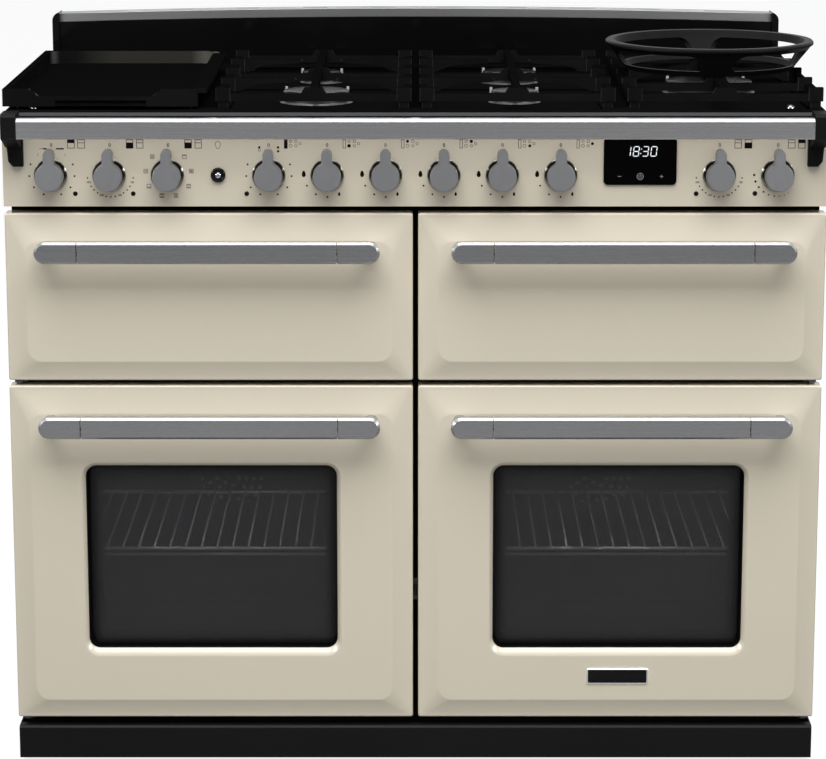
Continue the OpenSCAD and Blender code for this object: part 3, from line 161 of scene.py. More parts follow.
# Smooth glassy enamel: a slow drift of tone, a fine orange peel, a few dull patches, and where an edge colour is given,
# a painted highlight on rounded edges
def enamel(name, first, second, rough, peel=0.00001, edge=None, **settings):
    made, tree, shader = startMaterial(name, **settings)
    place = placeOf(tree)
    colour = tint(tree, noise(tree, place, 1.6), first, second)
    # Painted highlight on rounded edges
    if edge:
        colour = mixed(tree, edgeMask(tree)[0], colour, edge)
    fill(tree, shader, colour, between(tree, noise(tree, place, 7, 2), rough[0], rough[1]))
    bump(tree, shader, noise(tree, place, 420, 1.5), peel)
    return made


# Rolled or drawn metal: long streaks along one axis
def brushed(name, first, second, rough, grain, depth=0.000006, **settings):
    made, tree, shader = startMaterial(name, metallic=1.0, **settings)
    place = placeOf(tree, grain)
    streak = noise(tree, place, 1.0, 5, 0.65)
    wide = noise(tree, placeOf(tree), 6, 3)
    fill(tree, shader, tint(tree, wide, first, second), between(tree, streak, rough[0], rough[1]))
    if depth:
        bump(tree, shader, streak, depth)
    return made


# Sand-cast or vitrified iron: grainy under a dull coat, with a painted highlight along its rounded edges and painted
# shade on faces that point up
def ironParts(name, first, second, rough, grain, depth, edge=None, top=None, **settings):
    made, tree, shader = startMaterial(name, **settings)
    place = placeOf(tree)
    fine = noise(tree, place, grain, 4, 0.6)
    colour = tint(tree, noise(tree, place, 14, 3), first, second)
    # Painted shade on faces that point up, then a painted highlight on rounded edges
    if edge:
        paintedEdgeHighlight, normal = edgeMask(tree)
        paintedEdgeHighlight = sums(tree, paintedEdgeHighlight, between(tree, noise(tree, place, 60, 3), 0.55, 1.0), "MULTIPLY")
        colour = mixed(tree, between(tree, normal[2], 0.0, 1.0, 0.7, 0.95), colour, top or first)
        colour = mixed(tree, paintedEdgeHighlight, colour, edge)
    fill(tree, shader, colour, between(tree, fine, rough[0], rough[1]))
    bump(tree, shader, fine, depth)
    return made, tree, shader, colour


def castIron(*finish, **settings):
    return ironParts(*finish, **settings)[0]


finishSettings = {
    "cream": ((0.622, 0.566, 0.452), (0.630, 0.574, 0.460)),
    # The fronts' copy of the cream is lighter: painted light
    "frontCreamPaintedLight": ((0.668, 0.608, 0.484), (0.676, 0.616, 0.492)),
    "steel": ((0.350, 0.353, 0.362), (0.375, 0.378, 0.387)),
    # The rail's copy of the steel is lighter: painted light
    "railSteelPaintedLight": ((0.490, 0.490, 0.500), (0.520, 0.520, 0.530)),
    "knobSteel": ((0.290, 0.292, 0.302), (0.312, 0.314, 0.324)),
    "trimSteel": ((0.270, 0.270, 0.274), (0.300, 0.300, 0.304)),
    "iron": ((0.0062, 0.0062, 0.0066), (0.0088, 0.0088, 0.0092)),
    # The next two colours are a painted highlight for rounded iron edges and a painted shade for iron faces that point
    # up
    "ironEdgeHighlight": (0.042, 0.042, 0.043),
    "ironTopShade": (0.0034, 0.0034, 0.0036),
}
iron, ironEdgeHighlight, ironTopShade = (finishSettings[key] for key in ("iron", "ironEdgeHighlight", "ironTopShade"))
creamEnamel = enamel("creamEnamel", *finishSettings["cream"], (0.30, 0.33), coat=0.5, coatRough=0.10)
# The fronts take a lighter copy of the cream enamel: painted light
frontCreamPaintedLight = enamel("frontCreamPaintedLight", *finishSettings["frontCreamPaintedLight"], (0.30, 0.33), coat=0.5, coatRough=0.10)
blackEnamel = enamel("blackEnamel", (0.0060, 0.0060, 0.0065), (0.0085, 0.0085, 0.0090), (0.30, 0.42), specular=0.25)
# The edge colours of hobEnamel and plinthEnamel are painted highlights on rounded edges
hobEnamel = enamel("hobEnamel", (0.0036, 0.0036, 0.0040), (0.0052, 0.0052, 0.0056), (0.16, 0.24),
    edge=(0.060, 0.060, 0.062), specular=0.0)
upstandEnamel = enamel("upstandEnamel", (0.0030, 0.0030, 0.0034), (0.0050, 0.0050, 0.0054), (0.06, 0.12), specular=0.16)
plinthEnamel = enamel("plinthEnamel", (0.0076, 0.0076, 0.0082), (0.0094, 0.0094, 0.0100), (0.42, 0.52), 0.00002,
    edge=(0.020, 0.020, 0.021), specular=0.06)
# The frame, seen only in the gaps, takes a darker copy of the black enamel: painted shade
frameEnamel = enamel("frameEnamel", (0.0020, 0.0020, 0.0020), (0.0035, 0.0035, 0.0035), (0.45, 0.6), 0.00002, specular=0.04)
# The edge colours of these irons are painted highlights on rounded edges, and their top colours are painted shade on
# faces that point up
bracketBlack = castIron("bracketBlack", *iron, (0.42, 0.54), 900, 0.00002, (0.020, 0.020, 0.021), ironTopShade,
    specular=0.03)
supportIron = castIron("supportIron", *iron, (0.34, 0.50), 700, 0.00005, ironEdgeHighlight, ironTopShade, specular=0.0)
wokIron = castIron("wokIron", *iron, (0.30, 0.42), 700, 0.00004, (0.016, 0.016, 0.017), ironTopShade, specular=0.02)
capEnamel = castIron("capEnamel", (0.0045, 0.0045, 0.0050), (0.0070, 0.0070, 0.0075), (0.18, 0.3), 600, 0.00002,
    (0.020, 0.020, 0.021), (0.0034, 0.0034, 0.0036), specular=0.08)
handleSteel = brushed("handleSteel", *finishSettings["steel"], (0.255, 0.285), (4, 900, 900), 0)
# The rail takes a lighter copy of the handle steel: painted light
railSteelPaintedLight = brushed("railSteelPaintedLight", *finishSettings["railSteelPaintedLight"], (0.255, 0.285), (4, 900, 900), 0)
knobSteel = brushed("knobSteel", *finishSettings["knobSteel"], (0.34, 0.44), (1400, 60, 60), 0.000002)
trimSteel = brushed("trimSteel", *finishSettings["trimSteel"], (0.34, 0.38), (4, 800, 800), 0)
zincSheet = brushed("zincSheet", (0.36, 0.37, 0.38), (0.44, 0.45, 0.46), (0.34, 0.48), (600, 600, 8))
ovenWire = castIron("ovenWire", (0.70, 0.70, 0.69), (0.76, 0.76, 0.75), (0.16, 0.26), 900, 0.000004, metallic=0.35)
chrome = brushed("chrome", (0.78, 0.79, 0.80), (0.84, 0.85, 0.86), (0.04, 0.08), (80, 80, 80), 0.000001)
rimChrome = brushed("rimChrome", (0.200, 0.192, 0.172), (0.250, 0.240, 0.216), (0.14, 0.20), (80, 80, 80), 0.000001)
burnerAlloy = castIron("burnerAlloy", (0.085, 0.083, 0.078), (0.125, 0.122, 0.115), (0.26, 0.38), 900, 0.00003,
    metallic=0.9)


# Bezel chrome with a painted reflection: black round the upper half of a knob, warm grey below it as if it reflected
# the pale floor
def bezelPaintedReflection():
    b = {"turnLow": 0.806, "turnHigh": 0.820, "above": (0.022, 0.021, 0.019), "below": (0.42, 0.39, 0.32)}
    made, tree, shader = startMaterial("bezelPaintedReflection", metallic=1.0)
    place = placeOf(tree)
    height = shaderNode(tree, "SeparateXYZ", {"Vector": place}).outputs[2]
    # The black above and the warm grey below are a painted reflection
    below = between(tree, height, 1.0, 0.0, b["turnLow"], b["turnHigh"])
    fill(tree, shader, mixed(tree, below, b["above"], b["below"]),
        between(tree, noise(tree, place, 120, 2), 0.08, 0.12))
    bump(tree, shader, noise(tree, place, 80, 2), 0.000001)
    return made


paintedReflectionChrome = bezelPaintedReflection()
domeSteel = brushed("domeSteel", (0.38, 0.39, 0.44), (0.44, 0.45, 0.50), (0.08, 0.14), (80, 80, 80), 0.000001)
darkZinc = brushed("darkZinc", (0.090, 0.092, 0.095), (0.120, 0.122, 0.126), (0.36, 0.50), (600, 600, 8))
gasBrass = brushed("gasBrass", (0.48, 0.33, 0.13), (0.58, 0.42, 0.18), (0.24, 0.38), (60, 400, 400))


# Griddle iron: black floor and rim, with painted light in brown-grey on the back wall where it faces the front, growing
# brighter towards the right, and a painted highlight along its edges
def griddleWithPaintedLight():
    wall = {"from": 466.0, "to": 482.0, "left": -500.0, "right": -300.0, "colour": (0.030, 0.029, 0.025),
        "bright": (0.125, 0.122, 0.103), "edge": (0.075, 0.075, 0.076)}
    made, tree, shader, colour = ironParts("griddleIron", *iron, (0.42, 0.60), 520, 0.00006, wall["edge"], ironTopShade,
        specular=0.0)
    parts = shaderNode(tree, "SeparateXYZ", {"Vector": shaderNode(tree, "TexCoord").outputs["Object"]}).outputs
    facing = shaderNode(tree, "SeparateXYZ", {"Vector": shaderNode(tree, "TexCoord").outputs["Normal"]}).outputs
    behind = between(tree, parts[1], 0.0, 1.0, wall["from"] / 1000 - midY, wall["from"] / 1000 - midY + 0.002)
    front = between(tree, facing[1], 1.0, 0.0, -0.9, -0.35)
    along = between(tree, parts[0], 0.0, 1.0, wall["left"] / 1000 - midX, wall["left"] / 1000 - midX + 0.055)
    last = between(tree, parts[0], 0.0, 1.0, wall["right"] / 1000 - midX - 0.03, wall["right"] / 1000 - midX)
    # Painted light on the back wall where it faces the front
    paintedLightMask = sums(tree, sums(tree, behind, front, "MULTIPLY"), along, "MULTIPLY")
    fill(tree, shader, mixed(tree, paintedLightMask, colour, mixed(tree, last, wall["colour"], wall["bright"])))
    return made


griddleIron = griddleWithPaintedLight()


def speckledEnamel(name, ground, fleck, amount):
    made, tree, shader = startMaterial(name, specular=0.35)
    place = placeOf(tree)
    cells = shaderNode(tree, "TexVoronoi", {"Vector": place, "Scale": 330.0, "Randomness": 1.0})
    picked = shaderNode(tree, "SeparateColor", {"Color": cells.outputs["Color"]}).outputs["Red"]
    spot = between(tree, cells.outputs["Distance"], 1.0, 0.0, 0.16, 0.30)
    chosen = between(tree, picked, 0.0, 1.0, 1 - amount, 1.001 - amount)
    both = shaderNode(tree, "Math", {0: spot, 1: chosen}, operation="MULTIPLY").outputs[0]
    fill(tree, shader, tint(tree, both, ground, fleck, 0.0, 1.0), between(tree, noise(tree, place, 30, 3), 0.30, 0.42))
    bump(tree, shader, noise(tree, place, 380, 2), 0.00003)
    return made


ovenEnamel = speckledEnamel("ovenEnamel", (0.014, 0.015, 0.018), (0.11, 0.12, 0.14), 0.35)
panEnamel = speckledEnamel("panEnamel", (0.008, 0.008, 0.009), (0.07, 0.07, 0.08), 0.25)


def spangled(name):
    made, tree, shader = startMaterial(name, metallic=1.0)
    place = placeOf(tree)
    cells = shaderNode(tree, "TexVoronoi", {"Vector": place, "Scale": 75.0})
    grey = shaderNode(tree, "SeparateColor", {"Color": cells.outputs["Color"]}).outputs["Green"]
    fill(tree, shader, tint(tree, grey, (0.30, 0.31, 0.32), (0.42, 0.43, 0.44), 0.1, 0.9),
        between(tree, grey, 0.32, 0.5, 0.0, 1.0))
    bump(tree, shader, noise(tree, place, 240, 3), 0.00002)
    return made


galvanised = spangled("galvanised")


def tintedGlass(name, colour, **settings):
    made, tree, shader = startMaterial(name, **settings)
    place = placeOf(tree)
    fill(tree, shader, tint(tree, noise(tree, place, 5), colour, tuple(c * 1.25 for c in colour)),
        between(tree, noise(tree, place, 12, 3), 0.02, 0.05))
    return made


# Grey window glass that turns into an opaque black print towards the edges of the window, with painted light lightening
# the grey towards its top
def borderedGlass():
    g = {"x": 0.27475, "z": 0.2935, "halfWidth": 0.169, "halfHeight": 0.1285, "from": -0.020, "to": -0.002,
        "grey": (0.0500, 0.0500, 0.0520), "head": (0.0860, 0.0860, 0.0890), "headFrom": 0.335, "headTo": 0.415,
        "black": (0.0022, 0.0022, 0.0022), "clear": 0.37}
    made, tree, shader = startMaterial("windowGlass", specular=0.12)
    place = shaderNode(tree, "TexCoord").outputs["Object"]
    parts = shaderNode(tree, "SeparateXYZ", {"Vector": place}).outputs
    across = sums(tree, sums(tree, parts[0], midX, "ADD"), 0.0, "ABSOLUTE")
    across = sums(tree, sums(tree, across, g["x"], "SUBTRACT"), 0.0, "ABSOLUTE")
    up = sums(tree, sums(tree, parts[2], g["z"], "SUBTRACT"), 0.0, "ABSOLUTE")
    past = shaderNode(tree, "Math", {0: sums(tree, across, g["halfWidth"], "SUBTRACT"),
        1: sums(tree, up, g["halfHeight"], "SUBTRACT"), 2: 0.012}, operation="SMOOTH_MAX").outputs[0]
    edge = between(tree, past, 0.0, 1.0, g["from"], g["to"])
    grey = tint(tree, noise(tree, place, 5), g["grey"], tuple(c * 1.10 for c in g["grey"]))
    # Painted light: the grey lightens towards the top of the window, against the shade under the mouth's head
    grey = mixed(tree, between(tree, parts[2], 0.0, 1.0, g["headFrom"], g["headTo"]), grey, g["head"])
    fill(tree, shader, mixed(tree, edge, grey, g["black"]), between(tree, noise(tree, place, 12, 3), 0.02, 0.05))
    tree.links.new(between(tree, edge, g["clear"], 1.0, 0.0, 1.0), shader.inputs["Alpha"])
    return made


windowGlass = borderedGlass()
clockGlass = tintedGlass("clockGlass", (0.0012, 0.0012, 0.0014), specular=0.03)
hotplateGlass = tintedGlass("hotplateGlass", (0.004, 0.004, 0.0045), specular=0.3)


def sealCord():
    made, tree, shader = startMaterial("sealCord", rough=0.85)
    place = placeOf(tree, turn=(0, 0, math.radians(35)))
    weave = shaderNode(tree, "TexWave", {"Vector": place, "Scale": 260.0, "Distortion": 1.5}).outputs["Fac"]
    fill(tree, shader, tint(tree, weave, (0.018, 0.018, 0.018), (0.045, 0.044, 0.043)))
    bump(tree, shader, weave, 0.0003)
    return made


def heatedSteel():
    made, tree, shader = startMaterial("heatedSteel", metallic=0.7)
    place = placeOf(tree)
    fill(tree, shader, tint(tree, noise(tree, place, 18, 4), (0.05, 0.045, 0.042), (0.12, 0.10, 0.085)),
        between(tree, noise(tree, place, 160, 3), 0.45, 0.65))
    bump(tree, shader, noise(tree, place, 500, 3), 0.00004)
    return made


def footPlastic():
    made, tree, shader = startMaterial("footPlastic")
    place = placeOf(tree)
    fill(tree, shader, tint(tree, noise(tree, place, 40, 3), (0.012, 0.012, 0.012), (0.02, 0.02, 0.02)),
        between(tree, noise(tree, place, 260, 2), 0.5, 0.66))
    bump(tree, shader, noise(tree, place, 900, 2), 0.00004)
    return made


def plainInk(name, first, second, rough=0.5, glow=0.0, **settings):
    made, tree, shader = startMaterial(name, **settings)
    place = placeOf(tree)
    colour = tint(tree, noise(tree, place, 150, 2), first, second)
    fill(tree, shader, colour, between(tree, noise(tree, place, 300, 2), rough, rough + 0.08))
    if glow:
        tree.links.new(colour, shader.inputs["Emission Color"])
        shader.inputs["Emission Strength"].default_value = glow
    return made


printInk = plainInk("printInk", (0.0045, 0.0032, 0.0026), (0.0070, 0.0050, 0.0040), specular=0.02)
paleInk = plainInk("paleInk", (0.075, 0.062, 0.048), (0.095, 0.080, 0.062), specular=0.02)
clockLight = plainInk("clockLight", (0.72, 0.75, 0.78), (0.80, 0.82, 0.84), 0.4, 0.55)
clockDim = plainInk("clockDim", (0.16, 0.17, 0.18), (0.20, 0.21, 0.22), 0.4, 0.3)
lampLens = plainInk("lampLens", (0.0060, 0.0040, 0.0034), (0.0090, 0.0060, 0.0050), 0.12, specular=0.10)
blackLiningAndJoints = plainInk("blackLiningAndJoints", (0.0022, 0.0022, 0.0022), (0.0034, 0.0034, 0.0034), 0.45, specular=0.04)
whiteCeramic = plainInk("whiteCeramic", (0.46, 0.45, 0.43), (0.54, 0.53, 0.51), 0.35)
buttonRing = plainInk("buttonRing", (0.003, 0.003, 0.003), (0.005, 0.005, 0.005), 0.16, specular=0.15)

nodeFinish = {
    creamEnamel: ["control_fascia"],
    frontCreamPaintedLight: ["left_door_panel", "right_door_panel", "grill_front", "drawer_front"],
    plinthEnamel: ["plinth"],
    blackEnamel: ["side_panels", "base_frame"],
    frameEnamel: ["front_frame"],
    hobEnamel: ["hob_tray"],
    upstandEnamel: ["rear_upstand"],
    bracketBlack: ["handrail_brackets"],
    ovenEnamel: ["oven_liners", "upper_liners", "left_door_liner", "right_door_liner", "fan_covers"],
    panEnamel: ["grill_pan"],
    supportIron: ["left_pan_support", "middle_pan_support", "right_pan_support"],
    wokIron: ["wok_ring"],
    griddleIron: ["griddle"],
    capEnamel: ["burner_caps"],
    railSteelPaintedLight: ["handrail"],
    handleSteel: ["left_door_handle", "right_door_handle", "grill_handle", "drawer_handle"],
    trimSteel: ["upstand_trim"],
    knobSteel: [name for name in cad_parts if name.endswith("_knob")],
    chrome: ["light_button"],
    # The bezel dishes are black as a painted reflection of dark surroundings
    buttonRing: ["knob_bezels"],
    ovenWire: ["oven_racks"],
    windowGlass: ["left_door_glass", "right_door_glass"],
    clockGlass: ["clock_panel"],
    hotplateGlass: ["griddle_hotplate"],
    galvanised: ["back_panel"],
    zincSheet: ["grill_carriage", "drawer_tray", "fan_motors", "left_fan", "right_fan"],
    darkZinc: ["hinges_and_runners"],
    heatedSteel(): ["heating_elements"],
    burnerAlloy: ["burner_bodies"],
    gasBrass: ["gas_rail_and_switches"],
    sealCord(): ["door_seals"],
    footPlastic(): ["levelling_feet"],
}
for material, names in nodeFinish.items():
    for name in names:
        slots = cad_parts[name].data.materials
        slots.clear()
        slots.append(material)
print("stage: materials on", sum(len(names) for names in nodeFinish.values()), "nodes")


# A Geometry Nodes tree with named inputs; node() adds a node to it and sets or links what goes in
def newTree(name, sizes):
    tree = bpy.data.node_groups.new(name, "GeometryNodeTree")
    tree.interface.new_socket("Geometry", in_out="INPUT", socket_type="NodeSocketGeometry")
    for label, value in sizes.items():
        kind = "NodeSocketVector" if isinstance(value, tuple) else "NodeSocketFloat"
        tree.interface.new_socket(label, in_out="INPUT", socket_type=kind).default_value = value
    tree.interface.new_socket("Geometry", in_out="OUTPUT", socket_type="NodeSocketGeometry")
    start = tree.nodes.new("NodeGroupInput")
    end = tree.nodes.new("NodeGroupOutput")

    def node(kind, inputs=None, **attributes):
        made = tree.nodes.new(kind)
        for key, value in attributes.items():
            setattr(made, key, value)
        for key, value in (inputs or {}).items():
            if isinstance(value, bpy.types.NodeSocket):
                tree.links.new(value, made.inputs[key])
            else:
                made.inputs[key].default_value = value
        return made

    return tree, start.outputs, node, end.inputs["Geometry"]


smoothSettings = {"Weld": 0.00002, "Sharp From": math.radians(28)}


# Softened edges for the nodes that are carried over
def smoothingTree():
    tree, sizes, node, end = newTree("smoothFaces", smoothSettings)
    merge = node("GeometryNodeMergeByDistance", {"Geometry": sizes["Geometry"], "Distance": sizes["Weld"]})
    angle = node("GeometryNodeInputMeshEdgeAngle").outputs["Unsigned Angle"]
    flat = node("FunctionNodeCompare", {"A": angle, "B": sizes["Sharp From"]}, data_type="FLOAT", operation="LESS_THAN")
    faces = node("GeometryNodeSetShadeSmooth", {"Geometry": merge.outputs["Geometry"]})
    edges = node("GeometryNodeSetShadeSmooth", {"Geometry": faces.outputs["Geometry"],
        "Shade Smooth": flat.outputs["Result"]}, domain="EDGE")
    tree.links.new(edges.outputs["Geometry"], end)
    return tree


edgeRounding = {
    0.0012: ["left_pan_support", "middle_pan_support", "right_pan_support", "griddle", "handrail_brackets",
        "rear_upstand"],
    0.0008: ["plinth", "wok_ring", "upstand_trim"],
    0.0006: [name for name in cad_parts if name.endswith("_knob")] + ["hob_tray", "burner_caps", "clock_panel",
        "left_door_liner", "right_door_liner", "grill_pan"],
}
smoothFaces = smoothingTree()
rounded = {name: width for width, names in edgeRounding.items() for name in names}
for name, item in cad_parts.items():
    smooth = item.modifiers.new("smoothFaces", "NODES")
    smooth.node_group = smoothFaces
    if name in rounded:
        soft = item.modifiers.new("softEdges", "BEVEL")
        soft.width = rounded[name]
        soft.segments = 2
        soft.limit_method = "ANGLE"
        soft.angle_limit = math.radians(34)
        soft.harden_normals = True
        soft.use_clamp_overlap = True
print("stage: edges softened on", len(rounded), "nodes")


def roundedLoop(width, height, radius, y, corner=8):
    radius = max(min(radius, width / 2 - 0.01, height / 2 - 0.01), 0.01)
    points = []
    for sx, sz, start in ((1, 1, 0), (-1, 1, 90), (-1, -1, 180), (1, -1, 270)):
        for i in range(corner + 1):
            a = math.radians(start + 90 * i / corner)
            points.append((sx * (width / 2 - radius) + radius * math.cos(a), y,
                sz * (height / 2 - radius) + radius * math.sin(a)))
    return points


# Joins loops of equal length into a skin; closed goes round to the first loop, otherwise both ends are capped
def skin(loops, closed):
    count = len(loops[0])
    vertices = [point for loop in loops for point in loop]
    faces = []
    for a in range(len(loops) if closed else len(loops) - 1):
        b = (a + 1) % len(loops)
        for i in range(count):
            j = (i + 1) % count
            faces.append((a * count + i, a * count + j, b * count + j, b * count + i))
    if not closed:
        faces.append(tuple(range(count - 1, -1, -1)))
        faces.append(tuple(range((len(loops) - 1) * count, len(loops) * count)))
    return vertices, faces


# Faces outward and smooth, with an edge kept sharp where they meet at more than 35 degrees
def settle(made, mesh):
    bmesh.ops.recalc_face_normals(made, faces=made.faces)
    for face in made.faces:
        face.smooth = True
    for edge in made.edges:
        if len(edge.link_faces) == 2 and edge.calc_face_angle(0) > math.radians(35):
            edge.smooth = False
    made.to_mesh(mesh)
    made.free()


# A piece is built from its parts, then rides its body, takes its slot and stands in for the node it replaces
def build(name, parts, material, body, offset=(0, 0, 0), replaced=None):
    mesh = bpy.data.meshes.new(name)
    made = bmesh.new()
    for vertices, faces in parts:
        points = [made.verts.new(at(*(Vector(v) + Vector(offset)))) for v in vertices]
        for face in faces:
            made.faces.new([points[i] for i in face])
    settle(made, mesh)
    mesh.materials.append(material)
    piece = link(bpy.data.objects.new(name, mesh))
    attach(piece, body)
    if replaced:
        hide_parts(replaced)


# Pressed enamelled fronts: a rolled edge, a hollow border, a crisp crease and a flat field
frontSettings = {
    "across": 274.75, "doorMiddle": 301, "drawerMiddle": 655, "width": 542.5, "doorHeight": 466, "drawerHeight": 227,
    "depth": 30, "wall": 2.5, "border": 27, "topBorder": 37, "rise": 5, "hollow": 2.8, "bow": 0.6, "fieldRadius": 20,
    "edgeRadius": 3, "flange": 22,
    "windowWidth": 338, "windowHeight": 257, "windowRadius": 14, "lip": 5.3, "lipDepth": 7, "sillLow": 1.4,
    "sillHigh": 3.5, "headHigh": 1.6, "windowDrop": 7.5, "windowShift": {-1: -1.2, 1: 0.0}, "glassAt": 20,
}


# The top edge of a loop comes down, so that the border is wider above the field than beside it
def lowered(loop, share):
    s = frontSettings
    return [(x, y, z - (s["topBorder"] - s["border"]) * share if z > 0 else z) for x, y, z in loop]


# The border falls from the crease at the field to the rolled edge, steep at first and then flatter
def borderLoops(height, steps, inward=0.0):
    s = frontSettings
    start = 3.2
    places = [i / steps for i in range(steps)] + [1 - 0.7 / (s["border"] - start)]
    loops = []
    for t in places:
        inset = start + (s["border"] - start) * t
        y = s["hollow"] - (s["hollow"] + s["rise"]) * (s["bow"] * t + (1 - s["bow"]) * t * t) + inward
        radius = s["edgeRadius"] + (s["fieldRadius"] - s["edgeRadius"]) * (inset / s["border"])
        loops.append(lowered(roundedLoop(s["width"] - 2 * inset, height - 2 * inset, radius, y), t))
    for inset, y in ((s["border"], 0.07), (s["border"] + 0.6, 0.0), (s["border"] + 1.6, 0.0)):
        loops.append(lowered(roundedLoop(s["width"] - 2 * inset, height - 2 * inset,
            s["fieldRadius"] - (inset - s["border"]), y - s["rise"] + inward), 1.0))
    return loops


def frontLoops(height):
    s = frontSettings
    w, edge = s["width"], s["hollow"]
    outer = [
        roundedLoop(w - 2 * s["flange"], height - 2 * s["flange"], 3, s["depth"]),
        roundedLoop(w - 2.4, height - 2.4, 2.5, s["depth"]),
        roundedLoop(w - 0.6, height - 0.6, 2.8, s["depth"] - 0.4),
        roundedLoop(w, height, 3, s["depth"] - 1.4), roundedLoop(w, height, 3, edge + 5.0)]
    for k in range(6):
        a = math.radians(90 * k / 5)
        inset = 2.6 * (1 - math.cos(a))
        outer.append(roundedLoop(w - 2 * inset, height - 2 * inset, 3, edge + 2.6 * (1 - math.sin(a))))
    outer += borderLoops(height, 10)
    inner = borderLoops(height, 4, s["wall"])[::-1]
    inner += [roundedLoop(w - 2 * s["wall"], height - 2 * s["wall"], 2, edge + s["wall"] + 2),
        roundedLoop(w - 2 * s["wall"], height - 2 * s["wall"], 2, s["depth"] - 2),
        roundedLoop(w - 2 * s["flange"], height - 2 * s["flange"], 3, s["depth"] - 2)]
    return outer, inner


def doorFront(name, side, body, node):
    s = frontSettings
    outer, inner = frontLoops(s["doorHeight"])
    width, height, radius, lip = s["windowWidth"], s["windowHeight"], s["windowRadius"], s["lip"]

    # low and high move the sill down and the head of the mouth up
    def windowLoop(grow, y, low=0.0, high=0.0, across=0.0):
        loop = roundedLoop(width + 2 * grow, height + 2 * grow, radius + grow, y)
        return [(x + across, py, z - s["windowDrop"] + (high if z > 0 else -low)) for x, py, z in loop]

    rise, across = -s["rise"], s["windowShift"][side]
    inside, bottom = rise + s["lipDepth"], -s["sillHigh"]
    mouth = [windowLoop(lip + 7, rise, 3.0, s["headHigh"], across), windowLoop(lip + 2.2, rise, s["sillLow"] + 0.6,
        s["headHigh"], across)]
    for k in range(13):
        t = 1 - math.sin(math.radians(7.5 * k)) ** 1.6
        mouth.append(windowLoop(0.7 + lip * t, rise + s["lipDepth"] * (1 - math.cos(math.radians(7.5 * k)) ** 1.6),
            bottom + (s["sillLow"] + s["sillHigh"]) * t, s["headHigh"], across))
    mouth += [windowLoop(0.6, inside + 1, bottom, s["headHigh"], across), windowLoop(0.3, s["glassAt"] - 1),
        windowLoop(0, s["glassAt"] - 0.05), windowLoop(9, s["glassAt"] - 0.05), windowLoop(9, rise + s["wall"] + 2),
        windowLoop(11, rise + s["wall"])]
    field = lowered(roundedLoop(s["width"] - 2 * (s["border"] + 2), s["doorHeight"] - 2 * (s["border"] + 2),
        s["fieldRadius"] - 2, rise), 1.0)
    place = (side * s["across"], 0, s["doorMiddle"])
    build(name, [skin(outer + [field] + mouth + inner, True)], frontCreamPaintedLight, body, place, node)
    # A black lining over the walls of the window mouth, from the lip back to the glass
    edges = [(0.55, inside - 0.2, 0.0), (-0.4, inside, 0.0), (-0.9, inside + 0.6, 0.0), (-1.0, inside + 1.4, 0.0),
        (-1.6, s["glassAt"] - 0.6, 1.0), (-1.6, s["glassAt"] - 0.12, 1.0), (0.0, s["glassAt"] - 0.12, 1.0)]
    build(name + "BlackLining", [skin([windowLoop(grow, y, bottom * (1 - glass), s["headHigh"] * (1 - glass),
        across * (1 - glass)) for grow, y, glass in edges], True)], blackLiningAndJoints, body, place)


def drawerFront(name, side, body, node):
    s = frontSettings
    outer, inner = frontLoops(s["drawerHeight"])
    rise = -s["rise"]
    field, back = (lowered(roundedLoop(s["width"] - 2 * (s["border"] + 2), s["drawerHeight"] - 2 * (s["border"] + 2),
        s["fieldRadius"] - 2, y), 1.0) for y in (rise, rise + s["wall"]))
    place = (side * s["across"], 0, s["drawerMiddle"])
    build(name, [skin([back] + inner + outer + [field], False)], frontCreamPaintedLight, body, place, node)
    w, h = s["width"] - 28, s["drawerHeight"] - 28
    build(name + "Inner", [skin([roundedLoop(w - 2, h - 2, 7, 30), roundedLoop(w, h, 8, 30.6),
        roundedLoop(w, h, 8, 34.8), roundedLoop(w - 1, h - 1, 7.5, 35.7), roundedLoop(w - 3, h - 3, 7, 36),
        roundedLoop(w - 40, h - 40, 10, 36), roundedLoop(w - 44, h - 44, 9, 35.2),
        roundedLoop(w - 46, h - 46, 8, 34.2), roundedLoop(w - 50, h - 50, 8, 34)], False)], zincSheet,
        body, place)


doorFront("leftDoorFront", -1, "left_door", "left_door_panel")
doorFront("rightDoorFront", 1, "right_door", "right_door_panel")
drawerFront("grillFrontSkin", -1, "grill_drawer", "grill_front")
drawerFront("drawerFrontSkin", 1, "warming_drawer", "drawer_front")


printThick = 0.06


# Each mark is an outline in x and z that is given a hair's thickness in front of a plane
def outlinePart(points, y, thick=printThick):
    count = len(points)
    vertices = [(x, y, z) for x, z in points] + [(x, y - thick, z) for x, z in points]
    faces = [tuple(range(count)), tuple(range(2 * count - 1, count - 1, -1))]
    for i in range(count):
        j = (i + 1) % count
        faces.append((i, j, count + j, count + i))
    return vertices, faces


def discPart(x, z, radius, y, count=14):
    return outlinePart([(x + radius * math.cos(math.tau * i / count), z + radius * math.sin(math.tau * i / count))
        for i in range(count)], y)


def barPart(x0, x1, z0, z1, y):
    return outlinePart([(x0, z0), (x1, z0), (x1, z1), (x0, z1)], y)


def ringPart(x, z, radius, width, y, start=0, turn=360, count=20):
    full = turn >= 360
    steps = count if full else count + 1
    loops = []
    for r, dy in ((radius, 0), (radius - width, 0), (radius - width, -printThick), (radius, -printThick)):
        loops.append([(x + r * math.cos(math.radians(start + turn * i / count)), y + dy,
            z + r * math.sin(math.radians(start + turn * i / count))) for i in range(steps)])
    vertices = [point for loop in loops for point in loop]
    faces = []
    for a in range(4):
        b = (a + 1) % 4
        for i in range(steps if full else steps - 1):
            j = (i + 1) % steps
            faces.append((a * steps + i, a * steps + j, b * steps + j, b * steps + i))
    if not full:
        faces.append((0, steps, 2 * steps, 3 * steps))
        faces.append((steps - 1, 4 * steps - 1, 3 * steps - 1, 2 * steps - 1))
    return vertices, faces


